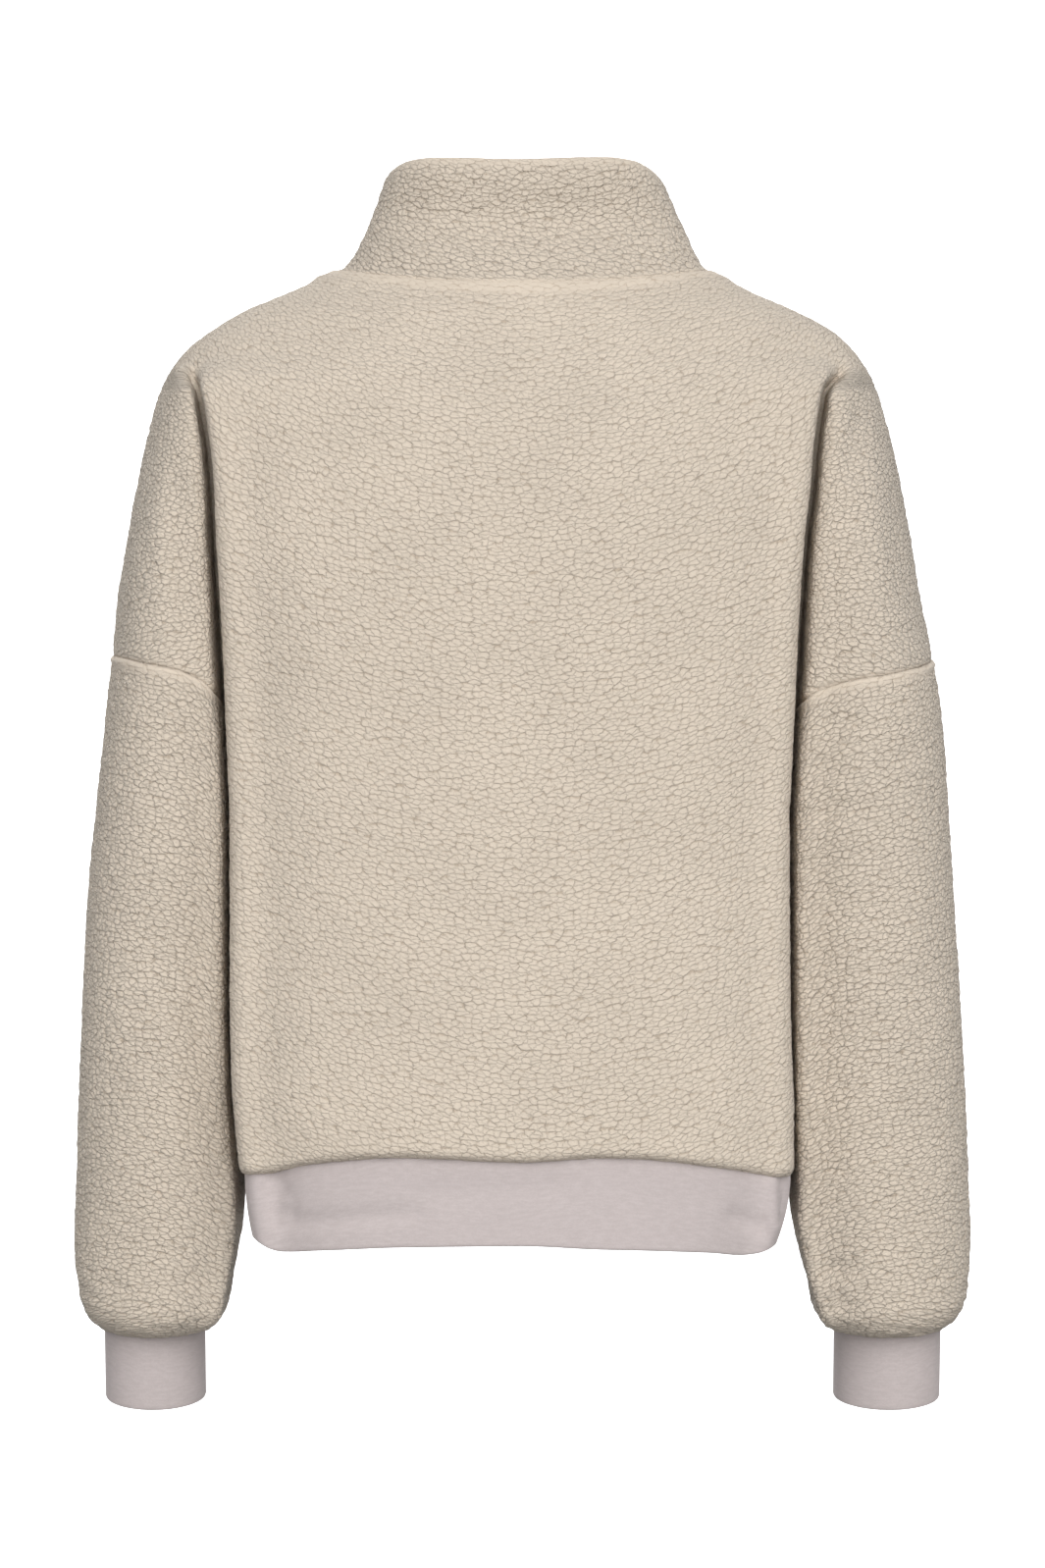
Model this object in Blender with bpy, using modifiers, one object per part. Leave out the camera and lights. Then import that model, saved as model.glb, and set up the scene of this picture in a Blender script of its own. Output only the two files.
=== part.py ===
"""Sherpa fleece pullover in its worn shape: hollow walls, open at neck, hem and cuffs.

Run with: blender --background --python part.py
Metres, +Z up. The garment's front faces -Y and the wearer's left side is +X. The origin is the
middle of the neck opening, at the height of the points where shoulder seams meet the collar.
All sizes below are in millimetres and become metres when a mesh is made.

A horizontal cut through the garment is a rounded torso with one rounded arm at each side.
Above the underarm the back and the front are each one cloth that runs from the torso into the
arm, with a deep fold between them. Below it, torso and sleeves are separate tubes.
"""

import bpy
import math
import numpy as np

MM = 0.001
BACK = 1
FRONT = -1
LEFT = 1
RIGHT = -1

# ----------------------------------------------------------------------------- driving sizes, mm
FLEECE_WALL = 3.0
COLLAR_WALL = 4.0
RIB_WALL = 2.4
SEAM_GAP = 0.3
ARMHOLE_GAP = 0.5

UNDERARM_LEVEL = -268.0
ARMHOLE_RISE = {LEFT: 35.0, RIGHT: 33.0}
SIDE_SEAM_Y = -6.0
FOLD_FLOOR_MIN = 4.6
FOLD_START = -52.0
FOLD_FULL = -78.0
HEM_MEAN = -541.0
HEM_BEND_START = -380.0
SEAM_BEND_START = -120.0
SEAM_SHAPE_LENGTH = 150.0

NECK_DIP = {BACK: 14.5, FRONT: 44.0}
NECK_DIP_REACH = {BACK: 90.0, FRONT: 170.0}
NECK_DIP_SQUARE = 2.5
NECK_HALF_WIDTH = 113.0
NECK_HALF_DEPTH = 75.0
NECK_BEAD = 1.4

COLLAR_INSIDE_SEAM = 0.5
COLLAR_ABOVE_SEAM = 0.4
COLLAR_TOP = 61.5
COLLAR_TOP_DROP_IN_FRONT = 24.0
COLLAR_TOP_DROP_AT_SIDES = 10.0
COLLAR_CORNER = 8.0
COLLAR_LIP_BEHIND = 4.0
COLLAR_LIP_START = 0.45
COLLAR_TOP_HALF_WIDTH = 83.0
COLLAR_TOP_HALF_DEPTH = 65.0
COLLAR_TOP_ROUNDNESS = 2.8
COLLAR_FLARE = {LEFT: 0.62, RIGHT: 0.76}

HEM_ROLL_HEIGHT = 7.0
BAND_INSET_SIDE = {LEFT: 3.1, RIGHT: 1.9}
BAND_INSET_FACE = 7.5
BAND_TAPER = {LEFT: 4.5, RIGHT: 8.5}
ROLL_UNDERLAP = 2.2

SLEEVE_END_LEVEL = -620.0
SLEEVE_ROLL_HEIGHT = 28.0
CUFF_LENGTH = 45.5
CUFF_CENTRE_X = {LEFT: 228.8, RIGHT: 227.0}
CUFF_HALF_WIDTH = {LEFT: 31.3, RIGHT: 33.2}
CUFF_HALF_DEPTH = 31.0
CUFF_CENTRE_Y = -54.0
CUFF_FORWARD = -9.0
CUFF_TILT = 0.20
CUFF_SHARE = 0.98
SLEEVE_FLOOR = 2.0

TORSO_COLUMNS = 10
ARM_COLUMNS = 9
UPPER_ROWS = 16
ROW_CROWDING = 1.35
LOWER_ROWS = 11
ROLL_ROWS = 3
SLEEVE_ROWS = 13
COLLAR_ROWS = 6
BAND_ROWS = 4
CUFF_ROWS = 3


def table(text):
    """Named columns from a small text table whose first line holds the names."""
    lines = text.strip().splitlines()
    rows = np.array([[float(word) for word in line.split()] for line in lines[1:]])
    return dict(zip(lines[0].split(), rows.T))


# Torso sections. half: half width at the fold or side. back, front: y in the middle.
# square: 2 is an ellipse, more is squarer.
TORSO = table("""
level  half_l half_r  back  front square
   0     86     86     66    -50   2.00
 -13    110    109     72    -60   2.00
 -25    138    136     79    -68   2.05
 -37    162    159     85    -74   2.15
 -49    185    178     91    -81   2.30
 -61    197    187     97    -88   2.50
 -75    194    181    102    -96   2.70
 -90    191    178    107   -103   2.90
-114    187.5  175    113   -113   3.00
-138    185.5  173    117   -121   3.10
-164    184.5  170    119.5 -126   3.20
-200    182.5  167.5  121   -129   3.20
-230    181    166    121   -129   3.20
-270    179.5  164.5  120   -127   3.20
-346    177    161.5  119   -123   3.20
-433    177    162    118   -121   3.20
-493    176    163.2  117   -119   3.20
-525    174    164    116   -117   3.15
-545    171.5  164.5  115   -116   3.10
""")

# Outer edge of the garment: shoulder line, then the outside of the arms.
EDGE = table("""
level  edge_l edge_r
   0    113    113
  -2.4  124.5  123.3
  -7.8  132    131.5
 -13    144    141.5
 -25    172    169
 -37    191.5  190.5
 -49    206.5  203
 -61    215    211
 -75    221.5  217
 -90    226    221.5
-109    230.5  226.5
-133    235.5  231.5
-169    242    238
-200    247    243
-232    250    249.5
-256    252.8  254
-290    256.5  258
-337    261.7  261
-373    265.5  263.5
-434    269.3  268
-494    272.5  272
-556    275.7  275.5
-593    277.5  277.5
-607    277.2  277.3
-622    275    276
""")

# Arm sections. away: distance of the arm's inner side from the torso. mid: y of the arm's middle.
# depth: half depth. peak: where the arm is deepest, 0 at its inner side, 1 at its outer edge.
# sink: how deep the fold beside it goes, 0 level with the arm's back, 1 at the arm's middle.
# lean: how much lower the arm's rings sit behind than in front, as a slope.
ARM = table("""
level  away_l away_r  mid   depth  peak  sink  lean
   0     3.0    3.0   -2    30.0   0.10  0.00  0.00
 -49     3.0    3.0   -3    40.0   0.12  0.00  0.00
 -61     3.0    3.0   -3    46.0   0.15  0.06  0.00
 -75     3.0    3.0   -4    52.0   0.20  0.14  0.00
 -90     3.0    3.0   -4    57.0   0.26  0.28  0.00
-114     3.0    3.0   -5    63.0   0.34  0.43  0.00
-138     3.0    3.0   -5    67.0   0.40  0.55  0.00
-164     3.0    3.0   -5    70.0   0.45  0.66  0.00
-200     3.0    3.0   -6    72.5   0.49  0.78  0.00
-230     3.0    3.0   -6    73.0   0.50  0.88  0.00
-256     2.4    2.4   -6    73.0   0.50  0.98  0.00
-270     1.6    1.6   -6    72.5   0.50  1.00  0.01
-285     1.0    1.0   -7    71.5   0.50  1.00  0.01
-346     1.0    1.0   -9    67.5   0.50  1.00  0.05
-434     1.0    1.0  -16    61.0   0.50  1.00  0.10
-494     1.0    1.0  -24    57.0   0.50  1.00  0.14
-550     1.0    1.0  -35    53.5   0.50  1.00  0.17
-568     1.0    1.0  -39    52.3   0.50  1.00  0.18
-584     2.2    3.3  -42    51.0   0.50  1.00  0.18
-604     5.5    8.0  -46    50.0   0.50  1.00  0.19
-620     9.0   13.0  -49    49.0   0.50  1.00  0.20
""")

# Height of the drop-shoulder seam above the underarm, as a share of its rise. across: 0 is the
# arm's outer edge, 1 its inner side.
DROP_SEAM = table("""
across rise_l rise_r
 0.0   1.000  1.000
 0.2   0.924  0.840
 0.4   0.812  0.679
 0.6   0.663  0.511
 0.8   0.436  0.308
 0.9   0.257  0.174
 1.0   0.000  0.000
""")
ARM_ROUNDNESS = 2.35
SHOULDER_ROUNDNESS = 2.2
FOLD_AT = 0.72
FOLD_STEP = 0.02
SEAM_MARGIN = 0.05
PLAIN_SHARE = 0.1
FADE_SHARE = 0.3
FADE_ROWS = 3.0

# Height of the fleece's lower edge and of the band's lower edge, across the back.
HEM_BACK = table("""
x     fleece  band
-165  -547.5  -590
-150  -547    -591.5
-139  -545    -592.5
-118  -541    -590
 -77  -535    -587.5
 -46  -533.5  -586.5
   0  -536    -584.5
  72  -533.5  -585.5
 122  -538    -588.5
 147  -544    -590.5
 165  -546.5  -589
""")

# The same across the front, which hangs plainly.
HEM_FRONT = table("""
x     fleece  band
-165  -547.5  -590
-139  -545    -591
 -80  -538    -588
   0  -536    -586.5
  80  -538    -588
 147  -544.5  -590.5
 165  -546.5  -589
""")

# Soft folds: a line from x0 z0 to x1 z1, its half width and its height (below 0 is a trough).
FOLDS_BACK = table("""
x0   z0    x1   z1   width height
-204  -84 -210 -150   11    -3.5
-222 -140 -225 -215   12    -3.0
 210 -118  206 -205   11    -3.0
-163 -332 -210 -326    9    -2.5
-225 -296 -243 -306   12    -2.5
 203 -430  182 -530   12    -3.0
 225 -440  205 -560   14     2.0
-180 -480 -200 -560   14    -2.5
   0  -60    0 -300   38    -2.5
-120 -470 -150 -520   22     2.0
""")
FOLDS_FRONT = table("""
x0   z0    x1   z1   width height
-206  -90 -212 -160   11    -3.0
 208 -100  214 -170   12    -3.5
 222 -150  226 -215   12    -2.5
 -90 -150  -60 -420   36    -2.5
  96 -170   70 -440   34    -2.5
 205 -440  186 -540   13    -3.0
-205 -430 -184 -520   13    -2.5
-222 -470 -206 -570   14     2.0
""")


def smooth(columns, name, at, key="level"):
    """A column's value at each place, on a curve that never overshoots its rows."""
    order = np.argsort(columns[key])
    known = columns[key][order]
    value = columns[name][order]
    slope = np.diff(value) / np.diff(known)
    product = slope[:-1] * slope[1:]
    total = np.where(product > 0, slope[:-1] + slope[1:], 1.0)
    inner = np.where(product > 0, 2.0 * product / total, 0.0)
    tangent = np.concatenate([slope[:1], inner, slope[-1:]])
    at = np.clip(at, known[0], known[-1])
    left = np.clip(np.searchsorted(known, at, side="right") - 1, 0, len(known) - 2)
    width = known[left + 1] - known[left]
    t = (at - known[left]) / width
    rise = t * t * (3.0 - 2.0 * t)
    start = value[left] * (1.0 - rise) + value[left + 1] * rise
    bend = width * (t * (1.0 - t) ** 2 * tangent[left] - t * t * (1.0 - t) * tangent[left + 1])
    return start + bend


def ease(share):
    """0 to 1 with flat ends."""
    share = np.clip(share, 0.0, 1.0)
    return share * share * (3.0 - 2.0 * share)


def by_side(columns, name, side, level):
    """A column that has its own values left and right of the wearer."""
    left = smooth(columns, name + "_l", level)
    right = smooth(columns, name + "_r", level)
    return np.where(side > 0, left, right)


def rounded(share, square):
    """x and y shares of a quarter of a rounded rectangle, from (0, 1) to (1, 0)."""
    angle = share * math.pi / 2.0
    x = np.abs(np.sin(angle)) ** (2.0 / square)
    y = np.abs(np.cos(angle)) ** (2.0 / square)
    return x, y


def fold_floor(level):
    """y distance of the fold's floor from the arm's middle, on the back and the front alike."""
    depth = smooth(ARM, "depth", level)
    return np.maximum(depth * (1.0 - smooth(ARM, "sink", level)), FOLD_FLOOR_MIN)


def torso_xy(side, half, share, level):
    """A point of the torso's section: share 0 is the middle of the cloth, 1 the fold or side."""
    width = by_side(TORSO, "half", side, level)
    middle = np.where(half > 0, smooth(TORSO, "back", level), smooth(TORSO, "front", level))
    x_share, y_share = rounded(share, smooth(TORSO, "square", level))
    mid = smooth(ARM, "mid", level)
    floor = mid + half * fold_floor(level)
    side_seam = SIDE_SEAM_Y + half * SEAM_GAP / 2.0
    floor = np.where(level >= UNDERARM_LEVEL - 0.5, floor, side_seam)
    return side * width * x_share, floor + (middle - floor) * y_share


def arm_xy(side, half, share, level, floor):
    """A point of the arm's section: share 0 is its outer edge, 0.5 its back or front, 1 its inner
    side at the given floor, a y distance from the arm's middle."""
    outer = by_side(EDGE, "edge", side, level)
    inner = by_side(TORSO, "half", side, level) + by_side(ARM, "away", side, level)
    mid = smooth(ARM, "mid", level)
    depth = smooth(ARM, "depth", level)
    peak = inner + (outer - inner) * smooth(ARM, "peak", level)
    out_y, out_x = rounded(np.clip(2.0 * share, 0.0, 1.0), ARM_ROUNDNESS)
    in_x, in_y = rounded(np.clip(2.0 * share - 1.0, 0.0, 1.0), ARM_ROUNDNESS)
    outside = share <= 0.5
    x = np.where(outside, peak + (outer - peak) * out_x, peak - (peak - inner) * in_x)
    y = np.where(outside, depth * out_y, floor + (depth - floor) * in_y)
    return side * x, mid + half * y


def shoulder_xy(side, half, share, level, z):
    """A point of the plain rounded section that the garment has above the folds: share 0 is the
    middle of the cloth, 1 the shoulder seam. Rows that dip keep the width of their level at the
    shoulder seam, so the neck stays an oval."""
    outer = by_side(EDGE, "edge", side, level)
    mid = smooth(ARM, "mid", z)
    middle = np.where(half > 0, smooth(TORSO, "back", z), smooth(TORSO, "front", z))
    x_share, y_share = rounded(share, SHOULDER_ROUNDNESS)
    return side * outer * x_share, mid + (middle - mid) * y_share


def normals(points, closed):
    """Unit normals of a grid of points[row, column], from its neighbours' differences."""
    if closed:
        along = np.roll(points, -1, axis=1) - np.roll(points, 1, axis=1)
    else:
        along = np.gradient(points, axis=1)
    down = np.gradient(points, axis=0)
    normal = np.cross(down, along)
    return normal / np.maximum(np.linalg.norm(normal, axis=2, keepdims=True), 1e-9)


def fold_height(points, half):
    """Sum of the soft folds of one face of the garment at each point."""
    folds = FOLDS_BACK if half > 0 else FOLDS_FRONT
    x = points[..., 0]
    z = points[..., 2]
    total = np.zeros_like(x)
    for x0, z0, x1, z1, width, height in zip(*folds.values()):
        run = np.array([x1 - x0, z1 - z0])
        share = np.clip(((x - x0) * run[0] + (z - z0) * run[1]) / run.dot(run), 0.0, 1.0)
        away = np.hypot(x - x0 - share * run[0], z - z0 - share * run[1])
        total += height * np.exp(-((away / width) ** 2))
    return total


def seam_rise(side, share):
    """Height of the drop-shoulder seam above the underarm, share 0 at the outer edge."""
    left = ARMHOLE_RISE[LEFT] * smooth(DROP_SEAM, "rise_l", share, key="across")
    right = ARMHOLE_RISE[RIGHT] * smooth(DROP_SEAM, "rise_r", share, key="across")
    return np.where(side > 0, left, right)


def rolled(edge, end):
    """Rows that turn from a fleece edge, a quarter round, inwards and down to end."""
    turn = np.linspace(0.0, math.pi / 2.0, ROLL_ROWS + 1)[1:, None, None]
    roll = edge + (end - edge) * (1.0 - np.cos(turn))
    roll[..., 2] = edge[:, 2] + (end[:, 2] - edge[:, 2]) * np.sin(turn[..., 0])
    return roll


def hem_height(half, x, name):
    """Height of the fleece's or the band's lower edge at a place across the garment."""
    return smooth(HEM_BACK if half > 0 else HEM_FRONT, name, x, key="x")


def band_xy(side, half, share, inset_extra=0.0, taper=0.0):
    """A point of the hem band's ring, inside the fleece's lower edge."""
    level = TORSO["level"][-1]
    x, y = torso_xy(side, half, share, level)
    width = np.abs(by_side(TORSO, "half", side, level))
    inset = np.where(side > 0, BAND_INSET_SIDE[LEFT], BAND_INSET_SIDE[RIGHT]) + inset_extra
    narrow = np.where(side > 0, BAND_TAPER[LEFT], BAND_TAPER[RIGHT]) * taper
    x = x * (width - inset - narrow) / width
    middle = np.abs(y - SIDE_SEAM_Y)
    depth = np.abs(smooth(TORSO, "back" if half > 0 else "front", level) - SIDE_SEAM_Y)
    y = SIDE_SEAM_Y + half * middle * (depth - BAND_INSET_FACE - inset_extra) / depth
    return x, y


def panel_points(half):
    """Back (half 1) or front (half -1) panel from the neck seam to the hem, as points[row, column]
    from the wearer's right to left, and which quads exist: the arm parts end at their seam."""
    torso_share = np.linspace(0.0, 1.0, TORSO_COLUMNS + 1)
    arm_share = arm_steps()[::-1]
    one_side = len(torso_share) + len(arm_share)
    share = np.concatenate([torso_share, arm_share])
    is_arm = np.arange(one_side) > TORSO_COLUMNS
    across = np.where(is_arm, 1.0 - (1.0 - FOLD_AT - FOLD_STEP) * share, FOLD_AT * share)
    mirror = np.concatenate([np.arange(one_side)[::-1], np.arange(1, one_side)])
    share, is_arm, across = share[mirror], is_arm[mirror], across[mirror]
    side = np.concatenate([-np.ones(one_side), np.ones(one_side - 1)])

    upper = UNDERARM_LEVEL * (np.arange(UPPER_ROWS + 1) / UPPER_ROWS) ** ROW_CROWDING
    last = HEM_MEAN + HEM_ROLL_HEIGHT
    lower = np.linspace(UNDERARM_LEVEL, last, LOWER_ROWS + 1)[1:]
    level, side = np.meshgrid(np.concatenate([upper, lower]), side, indexing="ij")
    share = np.broadcast_to(share, level.shape)
    is_arm = np.broadcast_to(is_arm, level.shape)

    # Rows bend: down in the middle of the neck, up towards the drop-shoulder seam, and to the hem.
    dip_fade = ease(1.0 + level / NECK_DIP_REACH[half])
    z = level - NECK_DIP[half] * (1.0 - rounded(across, 2.0)[0] ** NECK_DIP_SQUARE) * dip_fade
    arm_fade = ease((level - SEAM_BEND_START) / (UNDERARM_LEVEL - SEAM_BEND_START))
    z = z + np.where(is_arm, seam_rise(side, share) * arm_fade, 0.0)
    torso_x, torso_y = torso_xy(side, half, share, level)
    hem_fade = ease((level - HEM_BEND_START) / (last - HEM_BEND_START))
    z = z + np.where(is_arm, 0.0, (hem_height(half, torso_x, "fleece") - HEM_MEAN) * hem_fade)

    torso_x, torso_y = torso_xy(side, half, share, z)
    arm_x, arm_y = arm_xy(side, half, share, z, fold_floor(z))
    plain_x, plain_y = shoulder_xy(side, half, across, level, z)
    pinch = ease((FOLD_START - z) / (FOLD_START - FOLD_FULL))
    x = plain_x + (np.where(is_arm, arm_x, torso_x) - plain_x) * pinch
    y = plain_y + (np.where(is_arm, arm_y, torso_y) - plain_y) * pinch
    on_seam = is_arm & (share == 0.0)
    y = np.where(on_seam, y + half * SEAM_GAP / 2.0, y)
    points = np.stack([x, y, z], axis=2)

    # The hem rolls in over the band.
    end_x, end_y = band_xy(side[-1], half, share[-1], inset_extra=ROLL_UNDERLAP)
    end = np.stack([end_x, end_y, hem_height(half, end_x, "fleece")], axis=1)
    points = np.concatenate([points, rolled(points[-1], end)])

    # Folds fade out at the seams, and none reaches the cloth right beside the side seam and the
    # fold's floor. The bead beside the neck seam runs right across.
    row = np.arange(len(points))[:, None]
    from_seam = np.where(is_arm[0], ease(share[0] / FADE_SHARE), 1.0)
    from_seam = from_seam * ease((1.0 - PLAIN_SHARE - share[0]) / FADE_SHARE)
    from_end = np.where(is_arm[0], UPPER_ROWS - row, row[-1] - row)
    height = fold_height(points, half) * from_seam * ease(from_end / FADE_ROWS)
    height = height * ease(row / FADE_ROWS)
    height[1] += NECK_BEAD
    facing = normals(points, closed=False) * -half
    facing[:, [0, -1], 1] = 0.0
    points = points + facing * height[..., None]

    quad_is_arm = is_arm[0, 1:] | is_arm[0, :-1]
    keep = (row[:-1] < UPPER_ROWS) | ~quad_is_arm[None, :]
    return points, keep


def neck_ring():
    """The neck seam as one closed ring, from the panels' top rows: back right to left, then the
    front left to right. Of the columns close together at the shoulders every third is used."""
    arm = np.arange(0, ARM_COLUMNS + 1, 3)
    middle = np.arange(ARM_COLUMNS + 1, ARM_COLUMNS + 2 + 2 * TORSO_COLUMNS)
    pick = np.concatenate([arm, middle, middle[-1] + 1 + arm])
    back = panel_points(BACK)[0][0][pick]
    front = panel_points(FRONT)[0][0][pick[::-1]]
    return np.concatenate([back, front[1:-1]])


def arm_steps():
    """Arm shares of the columns, with one close beside the outer edge so that the seam's rim is
    square to the cloth."""
    return np.concatenate([[0.0], np.linspace(SEAM_MARGIN, 1.0, ARM_COLUMNS)])


def ring_shares():
    """half, and arm share from the outer edge round the back, the inner side and the front."""
    step = arm_steps()
    share = np.concatenate([step, step[::-1][:-1]])
    half = np.concatenate([np.ones(len(step)), -np.ones(len(step) - 1)])
    return half, share


def cuff_xy(side, half, share, grow):
    """A point of the cuff's oval; grow moves it out or in."""
    share = share * CUFF_SHARE
    width = CUFF_HALF_WIDTH[side] + grow
    out_y, out_x = rounded(np.clip(2.0 * share, 0.0, 1.0), 2.0)
    in_x, in_y = rounded(np.clip(2.0 * share - 1.0, 0.0, 1.0), 2.0)
    x = np.where(share <= 0.5, width * out_x, -width * in_x)
    y = np.where(share <= 0.5, out_y, in_y) * (CUFF_HALF_DEPTH + grow)
    return side * (CUFF_CENTRE_X[side] + x), CUFF_CENTRE_Y + half * y


def sleeve_points(side):
    """One sleeve from the drop-shoulder seam to where it rolls in over the cuff."""
    half, share = ring_shares()
    level = np.linspace(UNDERARM_LEVEL, SLEEVE_END_LEVEL, SLEEVE_ROWS + 1)
    level, share = np.meshgrid(level, share, indexing="ij")
    half = np.broadcast_to(half, level.shape)
    seam_fade = 1.0 - ease((UNDERARM_LEVEL - level) / SEAM_SHAPE_LENGTH)
    z = level + seam_rise(side, share) * seam_fade
    floor = SLEEVE_FLOOR + (fold_floor(z) - SLEEVE_FLOOR) * seam_fade
    x, y = arm_xy(side, half, share, z, floor)
    tilt = smooth(ARM, "lean", level) * (1.0 - seam_fade) * (y - smooth(ARM, "mid", level))
    z = z - tilt
    z[0] -= ARMHOLE_GAP
    points = np.stack([x, y, z], axis=2)

    end_x, end_y = cuff_xy(side, half[-1], share[-1], -ROLL_UNDERLAP)
    end_z = SLEEVE_END_LEVEL - SLEEVE_ROLL_HEIGHT - CUFF_TILT * (end_y - CUFF_CENTRE_Y)
    end = np.stack([end_x, end_y, end_z], axis=1)
    points = np.concatenate([points, rolled(points[-1], end)])

    row = np.arange(len(points))[:, None]
    height = np.where(half[0] > 0, fold_height(points, BACK), fold_height(points, FRONT))
    height = height * ease(row / FADE_ROWS) * ease((row[-1] - row) / FADE_ROWS)
    height = height * ease((0.5 - np.abs(share[0] - 0.5)) / SEAM_MARGIN - 1.0)
    facing = normals(points, closed=True) * side
    return points + facing * height[..., None]


def cuff_points(side):
    """One cuff: a straight tube of rib, leaning forward with the sleeve."""
    half, share = ring_shares()
    down = np.linspace(0.0, 1.0, CUFF_ROWS + 1)
    down, share = np.meshgrid(down, share, indexing="ij")
    half = np.broadcast_to(half, down.shape)
    x, y = cuff_xy(side, half, share, 0.0)
    top = SLEEVE_END_LEVEL - SLEEVE_ROLL_HEIGHT - SEAM_GAP
    z = top - CUFF_LENGTH * down - CUFF_TILT * (y - CUFF_CENTRE_Y)
    return np.stack([x, y + CUFF_FORWARD * down, z], axis=2)


def collar_points():
    """The stand collar: from just inside the neck seam up to a smaller ring, lower at the sides and
    in front. Behind, its upper part leans out again to a lip."""
    seam = neck_ring()
    centre = seam.mean(axis=0)
    reach = np.hypot(seam[:, 0], seam[:, 1] - centre[1])
    shrink = (reach - COLLAR_INSIDE_SEAM) / reach
    base = seam.copy()
    base[:, 0] = seam[:, 0] * shrink
    base[:, 1] = centre[1] + (seam[:, 1] - centre[1]) * shrink
    base[:, 2] = seam[:, 2] + COLLAR_ABOVE_SEAM
    angle = np.arctan2((base[:, 1] - centre[1]) / NECK_HALF_DEPTH, base[:, 0] / NECK_HALF_WIDTH)
    power = 2.0 / COLLAR_TOP_ROUNDNESS
    x = COLLAR_TOP_HALF_WIDTH * np.sign(np.cos(angle)) * np.abs(np.cos(angle)) ** power
    y = COLLAR_TOP_HALF_DEPTH * np.sign(np.sin(angle)) * np.abs(np.sin(angle)) ** power
    full = COLLAR_TOP - COLLAR_TOP_DROP_IN_FRONT * np.clip(-np.sin(angle), 0.0, 1.0) ** 1.5
    z = full - COLLAR_TOP_DROP_AT_SIDES * np.abs(np.cos(angle)) ** COLLAR_CORNER
    top = np.stack([x, y, z], axis=1)
    up = np.linspace(0.0, 1.0, COLLAR_ROWS + 1)[:, None]
    leftness = 0.5 + 0.5 * np.clip(base[:, 0] / COLLAR_TOP_HALF_WIDTH, -1.0, 1.0)
    flare = COLLAR_FLARE[RIGHT] + (COLLAR_FLARE[LEFT] - COLLAR_FLARE[RIGHT]) * leftness
    inward = (up * (z - base[:, 2]) / (full - base[:, 2])) ** flare[None, :]
    ring = np.empty((COLLAR_ROWS + 1, len(seam), 3))
    ring[..., :2] = base[:, :2] + (top[:, :2] - base[:, :2]) * inward[..., None]
    ring[..., 2] = base[:, 2] + (top[:, 2] - base[:, 2]) * up
    lip = ease((up - COLLAR_LIP_START) / (1.0 - COLLAR_LIP_START))
    ring[..., 1] += COLLAR_LIP_BEHIND * np.clip(np.sin(angle), 0.0, 1.0) * lip
    return ring[::-1]


def band_points():
    """The hem band: a ring of rib under the fleece's rolled edge."""
    torso_share = np.linspace(0.0, 1.0, TORSO_COLUMNS + 1)
    share = np.concatenate([torso_share[::-1], torso_share[1:]])
    side = np.concatenate([-np.ones(TORSO_COLUMNS + 1), np.ones(TORSO_COLUMNS)])
    down = np.linspace(0.0, 1.0, BAND_ROWS + 1)[:, None]
    rings = []
    for half in (BACK, FRONT):
        x, y = band_xy(side, half, share[None, :], taper=down ** 2)
        top = hem_height(half, x[0], "fleece") - SEAM_GAP
        bottom = hem_height(half, x[0], "band")
        y = np.where(share == 1.0, SIDE_SEAM_Y, np.broadcast_to(y, x.shape))
        rings.append(np.stack([x, y, top + (bottom - top) * down], axis=2))
    back, front = rings
    return np.concatenate([back, front[:, ::-1][:, 1:-1]], axis=1)


def cloth(name, points, keep, closed, thickness, material, collection):
    """A wall of cloth: the grid is its outer face, and Solidify gives it thickness inwards."""
    rows, columns = points.shape[:2]
    index = np.arange(rows * columns).reshape(rows, columns)
    right = np.roll(index, -1, axis=1)
    if not closed:
        right = right[:, :-1]
        index = index[:, :-1]
    quads = np.stack([index[:-1], right[:-1], right[1:], index[1:]], axis=2)
    if keep is not None:
        quads = quads[keep]
    quads = quads.reshape(-1, 4)
    used, faces = np.unique(quads, return_inverse=True)
    mesh = bpy.data.meshes.new(name)
    mesh.from_pydata((points.reshape(-1, 3)[used] * MM).tolist(), [], faces.reshape(-1, 4).tolist())
    mesh.shade_smooth()
    mesh.materials.append(material)
    piece = bpy.data.objects.new(name, mesh)
    collection.objects.link(piece)
    wall = piece.modifiers.new("wall", "SOLIDIFY")
    wall.thickness = thickness * MM
    wall.offset = -1.0
    wall.use_even_offset = True
    wall.use_quality_normals = True
    return piece


def finish(name, colour, roughness):
    """A cloth material."""
    material = bpy.data.materials.new(name)
    material.use_nodes = True
    shader = material.node_tree.nodes["Principled BSDF"]
    shader.inputs["Base Color"].default_value = (*colour, 1.0)
    shader.inputs["Roughness"].default_value = roughness
    shader.inputs["Metallic"].default_value = 0.0
    return material


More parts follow.
